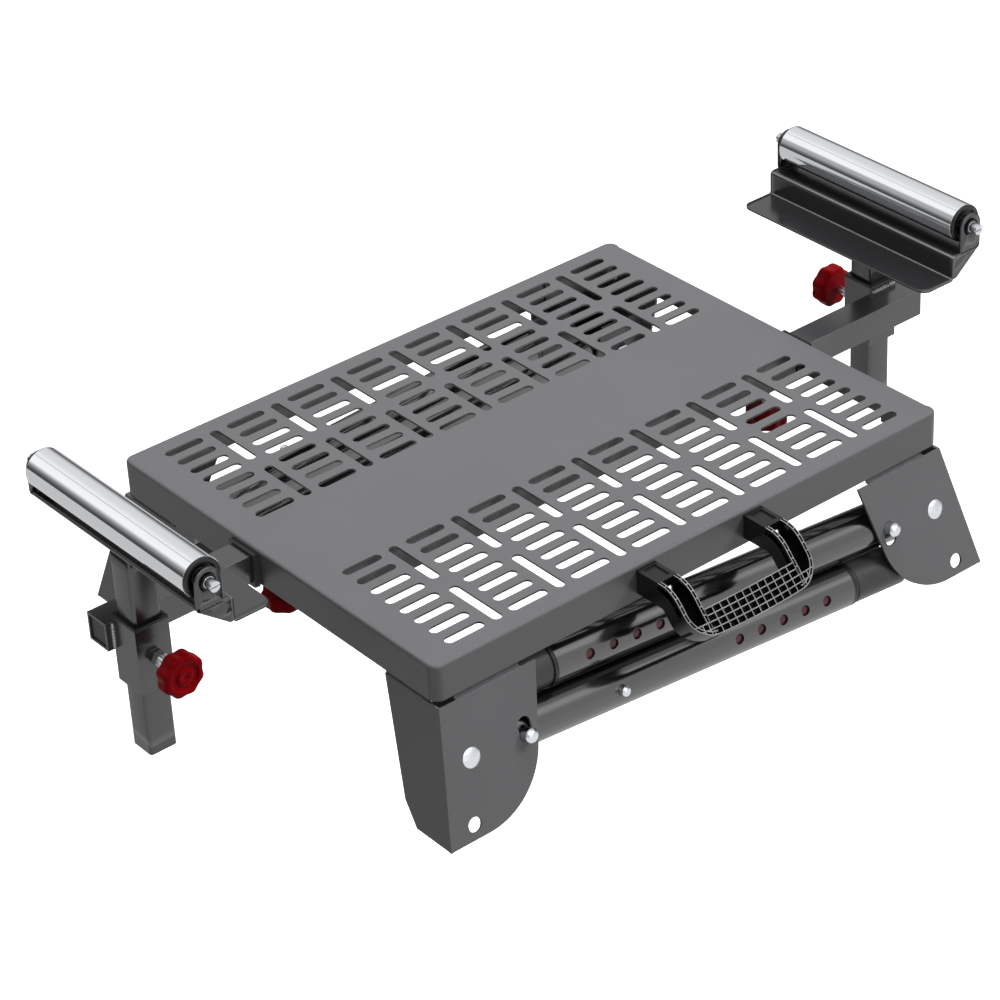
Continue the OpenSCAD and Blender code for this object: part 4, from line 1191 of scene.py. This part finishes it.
@dataclass(frozen=True)
class Studio:
    """A white floor and backdrop for the camera, under two soft lights.

    Reflections see a banded room and a glowing floor instead, and bounced light a dark floor.
    The levels were tuned against the photograph.
    """

    floor_z: float
    floor_half: float = 8.0
    floor_colour: str = "#f4f4f4"
    floor_shade: str = "#303030"
    floor_glow: float = 0.75
    floor_front: float = 1.1
    floor_back: float = 0.62
    room_light: float = 0.78
    room_low: float = 0.16
    front_light: float = 1.3
    strip_light: float = 1.8
    bands: tuple[tuple[float, float], ...] = ((0.0, 0.6), (0.19, 0.45), (0.25, 1.1), (0.42, 1.05), (0.44, 0.55),
                                              (0.47, 1.05), (0.60, 0.85), (0.85, 0.75))
    boxes: tuple[SoftBox, ...] = field(
        default_factory=lambda: (
            SoftBox("key_box", (1.9, -2.0, 2.5), (0.0, 0.0, -0.05), (1.1, 1.1), 62.0),
            SoftBox("top_box", (0.3, 0.4, 2.8), (0.0, 0.0, 0.0), (2.2, 2.2), 62.0),
        )
    )

    def floor_finish(self) -> bpy.types.Material:
        """Pale matt board for the camera, brighter to the front in reflections, dark to bounced light."""
        material, tree = new_material("studio_floor_board")
        place = add_node(tree, "ShaderNodeTexCoord").outputs["Object"]
        cloud = add_node(tree, "ShaderNodeTexNoise", {"Scale": 2.0, "Detail": 2.0}, {"Vector": place})
        gloss = add_node(tree, "ShaderNodeMapRange", {"To Min": 0.82, "To Max": 0.90},
                         {"Value": cloud.outputs["Fac"]})
        pale = add_node(
            tree, "ShaderNodeBsdfPrincipled",
            {"Base Color": linear(self.floor_colour), "Specular IOR Level": 0.1,
             "Emission Color": WHITE, "Emission Strength": self.floor_glow},
            {"Roughness": gloss.outputs[0]},
        )
        depth = add_node(tree, "ShaderNodeSeparateXYZ", {}, {0: place})
        cloth = add_node(
            tree, "ShaderNodeMapRange",
            {"interpolation_type": "SMOOTHSTEP", "From Min": 0.4, "From Max": -0.4, "To Min": self.floor_back,
             "To Max": self.floor_front},
            {"Value": depth.outputs["Y"]},
        )
        glow = add_node(tree, "ShaderNodeEmission", {"Color": WHITE}, {"Strength": cloth.outputs[0]})
        dim = add_node(tree, "ShaderNodeBsdfDiffuse", {"Color": linear(self.floor_shade)})
        board = by_ray(tree, dim.outputs[0], glow.outputs[0], pale.outputs[0])
        add_node(tree, "ShaderNodeOutputMaterial", {}, {"Surface": board})
        return material

    def room(self) -> bpy.types.World:
        """Set up the room: white to the camera, banded in reflections, dim low down and to the left.

        Returns:
            The world.
        """
        world = bpy.data.worlds.new("studio_room")
        world.use_nodes = True
        tree = world.node_tree
        tree.nodes.clear()
        look = add_node(tree, "ShaderNodeTexCoord").outputs["Generated"]
        parts = add_node(tree, "ShaderNodeSeparateXYZ", {}, {0: look})
        height, front, strip, across, whole = (
            add_node(
                tree, "ShaderNodeMapRange",
                {"interpolation_type": kind, "From Min": start, "From Max": stop, "To Min": low, "To Max": high},
                {"Value": parts.outputs[axis]},
            ).outputs[0]
            for axis, kind, start, stop, low, high in (
                ("Z", "SMOOTHSTEP", 0.02, 0.42, self.room_low, 1.0),
                ("Y", "SMOOTHSTEP", 0.0, -0.45, 0.0, self.front_light),
                ("Z", "SMOOTHSTEP", 0.48, 0.58, 1.0, self.strip_light),
                ("X", "LINEAR", -0.9, 0.5, 0.45, 1.0),
                ("X", "LINEAR", -1.0, 1.0, 0.0, 1.0),
            )
        )
        bands = add_node(tree, "ShaderNodeValToRGB", {}, {0: whole})
        ramp = bands.color_ramp
        ramp.elements.remove(ramp.elements[1])
        ramp.elements[0].position, ramp.elements[0].color = self.bands[0][0], (self.bands[0][1],) * 3 + (1.0,)
        for position, tone in self.bands[1:]:
            ramp.elements.new(position).color = (tone, tone, tone, 1.0)
        dimmed = add_node(tree, "ShaderNodeMath", {"operation": "MULTIPLY"}, {0: height, 1: across})
        level = add_node(tree, "ShaderNodeMath", {"operation": "MULTIPLY", 1: self.room_light}, {0: dimmed.outputs[0]})
        facing = add_node(tree, "ShaderNodeMath", {"operation": "MULTIPLY"}, {0: front, 1: strip})
        lit = add_node(tree, "ShaderNodeMath", {"operation": "MAXIMUM"}, {0: height, 1: facing.outputs[0]})
        banded = add_node(tree, "ShaderNodeMath", {"operation": "MULTIPLY"}, {0: lit.outputs[0], 1: bands.outputs[0]})
        sky, mirrored = (
            add_node(tree, "ShaderNodeBackground", {"Color": WHITE}, {"Strength": strength.outputs[0]}).outputs[0]
            for strength in (level, banded)
        )
        backdrop = add_node(tree, "ShaderNodeBackground", {"Color": WHITE, "Strength": 1.0})
        add_node(tree, "ShaderNodeOutputWorld", {}, {"Surface": by_ray(tree, sky, mirrored, backdrop.outputs[0])})
        return world

    def build(self) -> None:
        """Lay the floor, light the room and hang the soft boxes."""
        half = self.floor_half
        mesh = bpy.data.meshes.new("studio_floor")
        mesh.from_pydata([(-half, -half, self.floor_z), (half, -half, self.floor_z), (half, half, self.floor_z),
                          (-half, half, self.floor_z)], [], [(0, 1, 2, 3)])
        floor = bpy.data.objects.new("studio_floor", mesh)
        mesh.materials.append(self.floor_finish())
        bpy.context.scene.collection.objects.link(floor)
        floor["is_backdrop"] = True
        bpy.context.scene.world = self.room()
        for box in self.boxes:
            box.build()
        view = bpy.context.scene.view_settings
        view.view_transform = "Standard"
        view.look = "None"


def main() -> None:
    """Load the frame, dress it, and set up studio and camera."""
    logging.basicConfig(level=logging.INFO, format="%(name)s: %(message)s")
    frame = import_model()
    cad_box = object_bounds()
    dresser = Dresser(frame["nodes"])
    dress_nodes(dresser)
    CarryHandle().build(dresser)
    collars = Stock("arm_collar_mouldings")
    for side, sign in (("right", 1.0), ("left", -1.0)):
        for part, (x, y, z), axis, screw in (
            ("arm", ARM_KNOB_BACK, (0.0, 0.0, -1.0), 31.2),
            ("post", POST_KNOB_BACK, (0.0, sign, 0.0), 0.0),
        ):
            ClampKnob(f"{part}_knob_moulding_{side}", f"{part}_clamp_{side}", f"{part}_knob_{side}",
                      (sign * x, sign * y, z), axis, screw_length=screw).build(dresser)
        support = RollerSupport(side)
        support.build(dresser)
        support.collar(collars)
    collars.finish([dresser.material(BLACK_PLASTIC)], "platform", "black_plastic", ["arm_collars"], crease=30.0)
    Studio(floor_z=cad_box[0][2] - LEG_REACH).build()
    PhotoCamera().build()


if __name__ == "__main__":
    main()
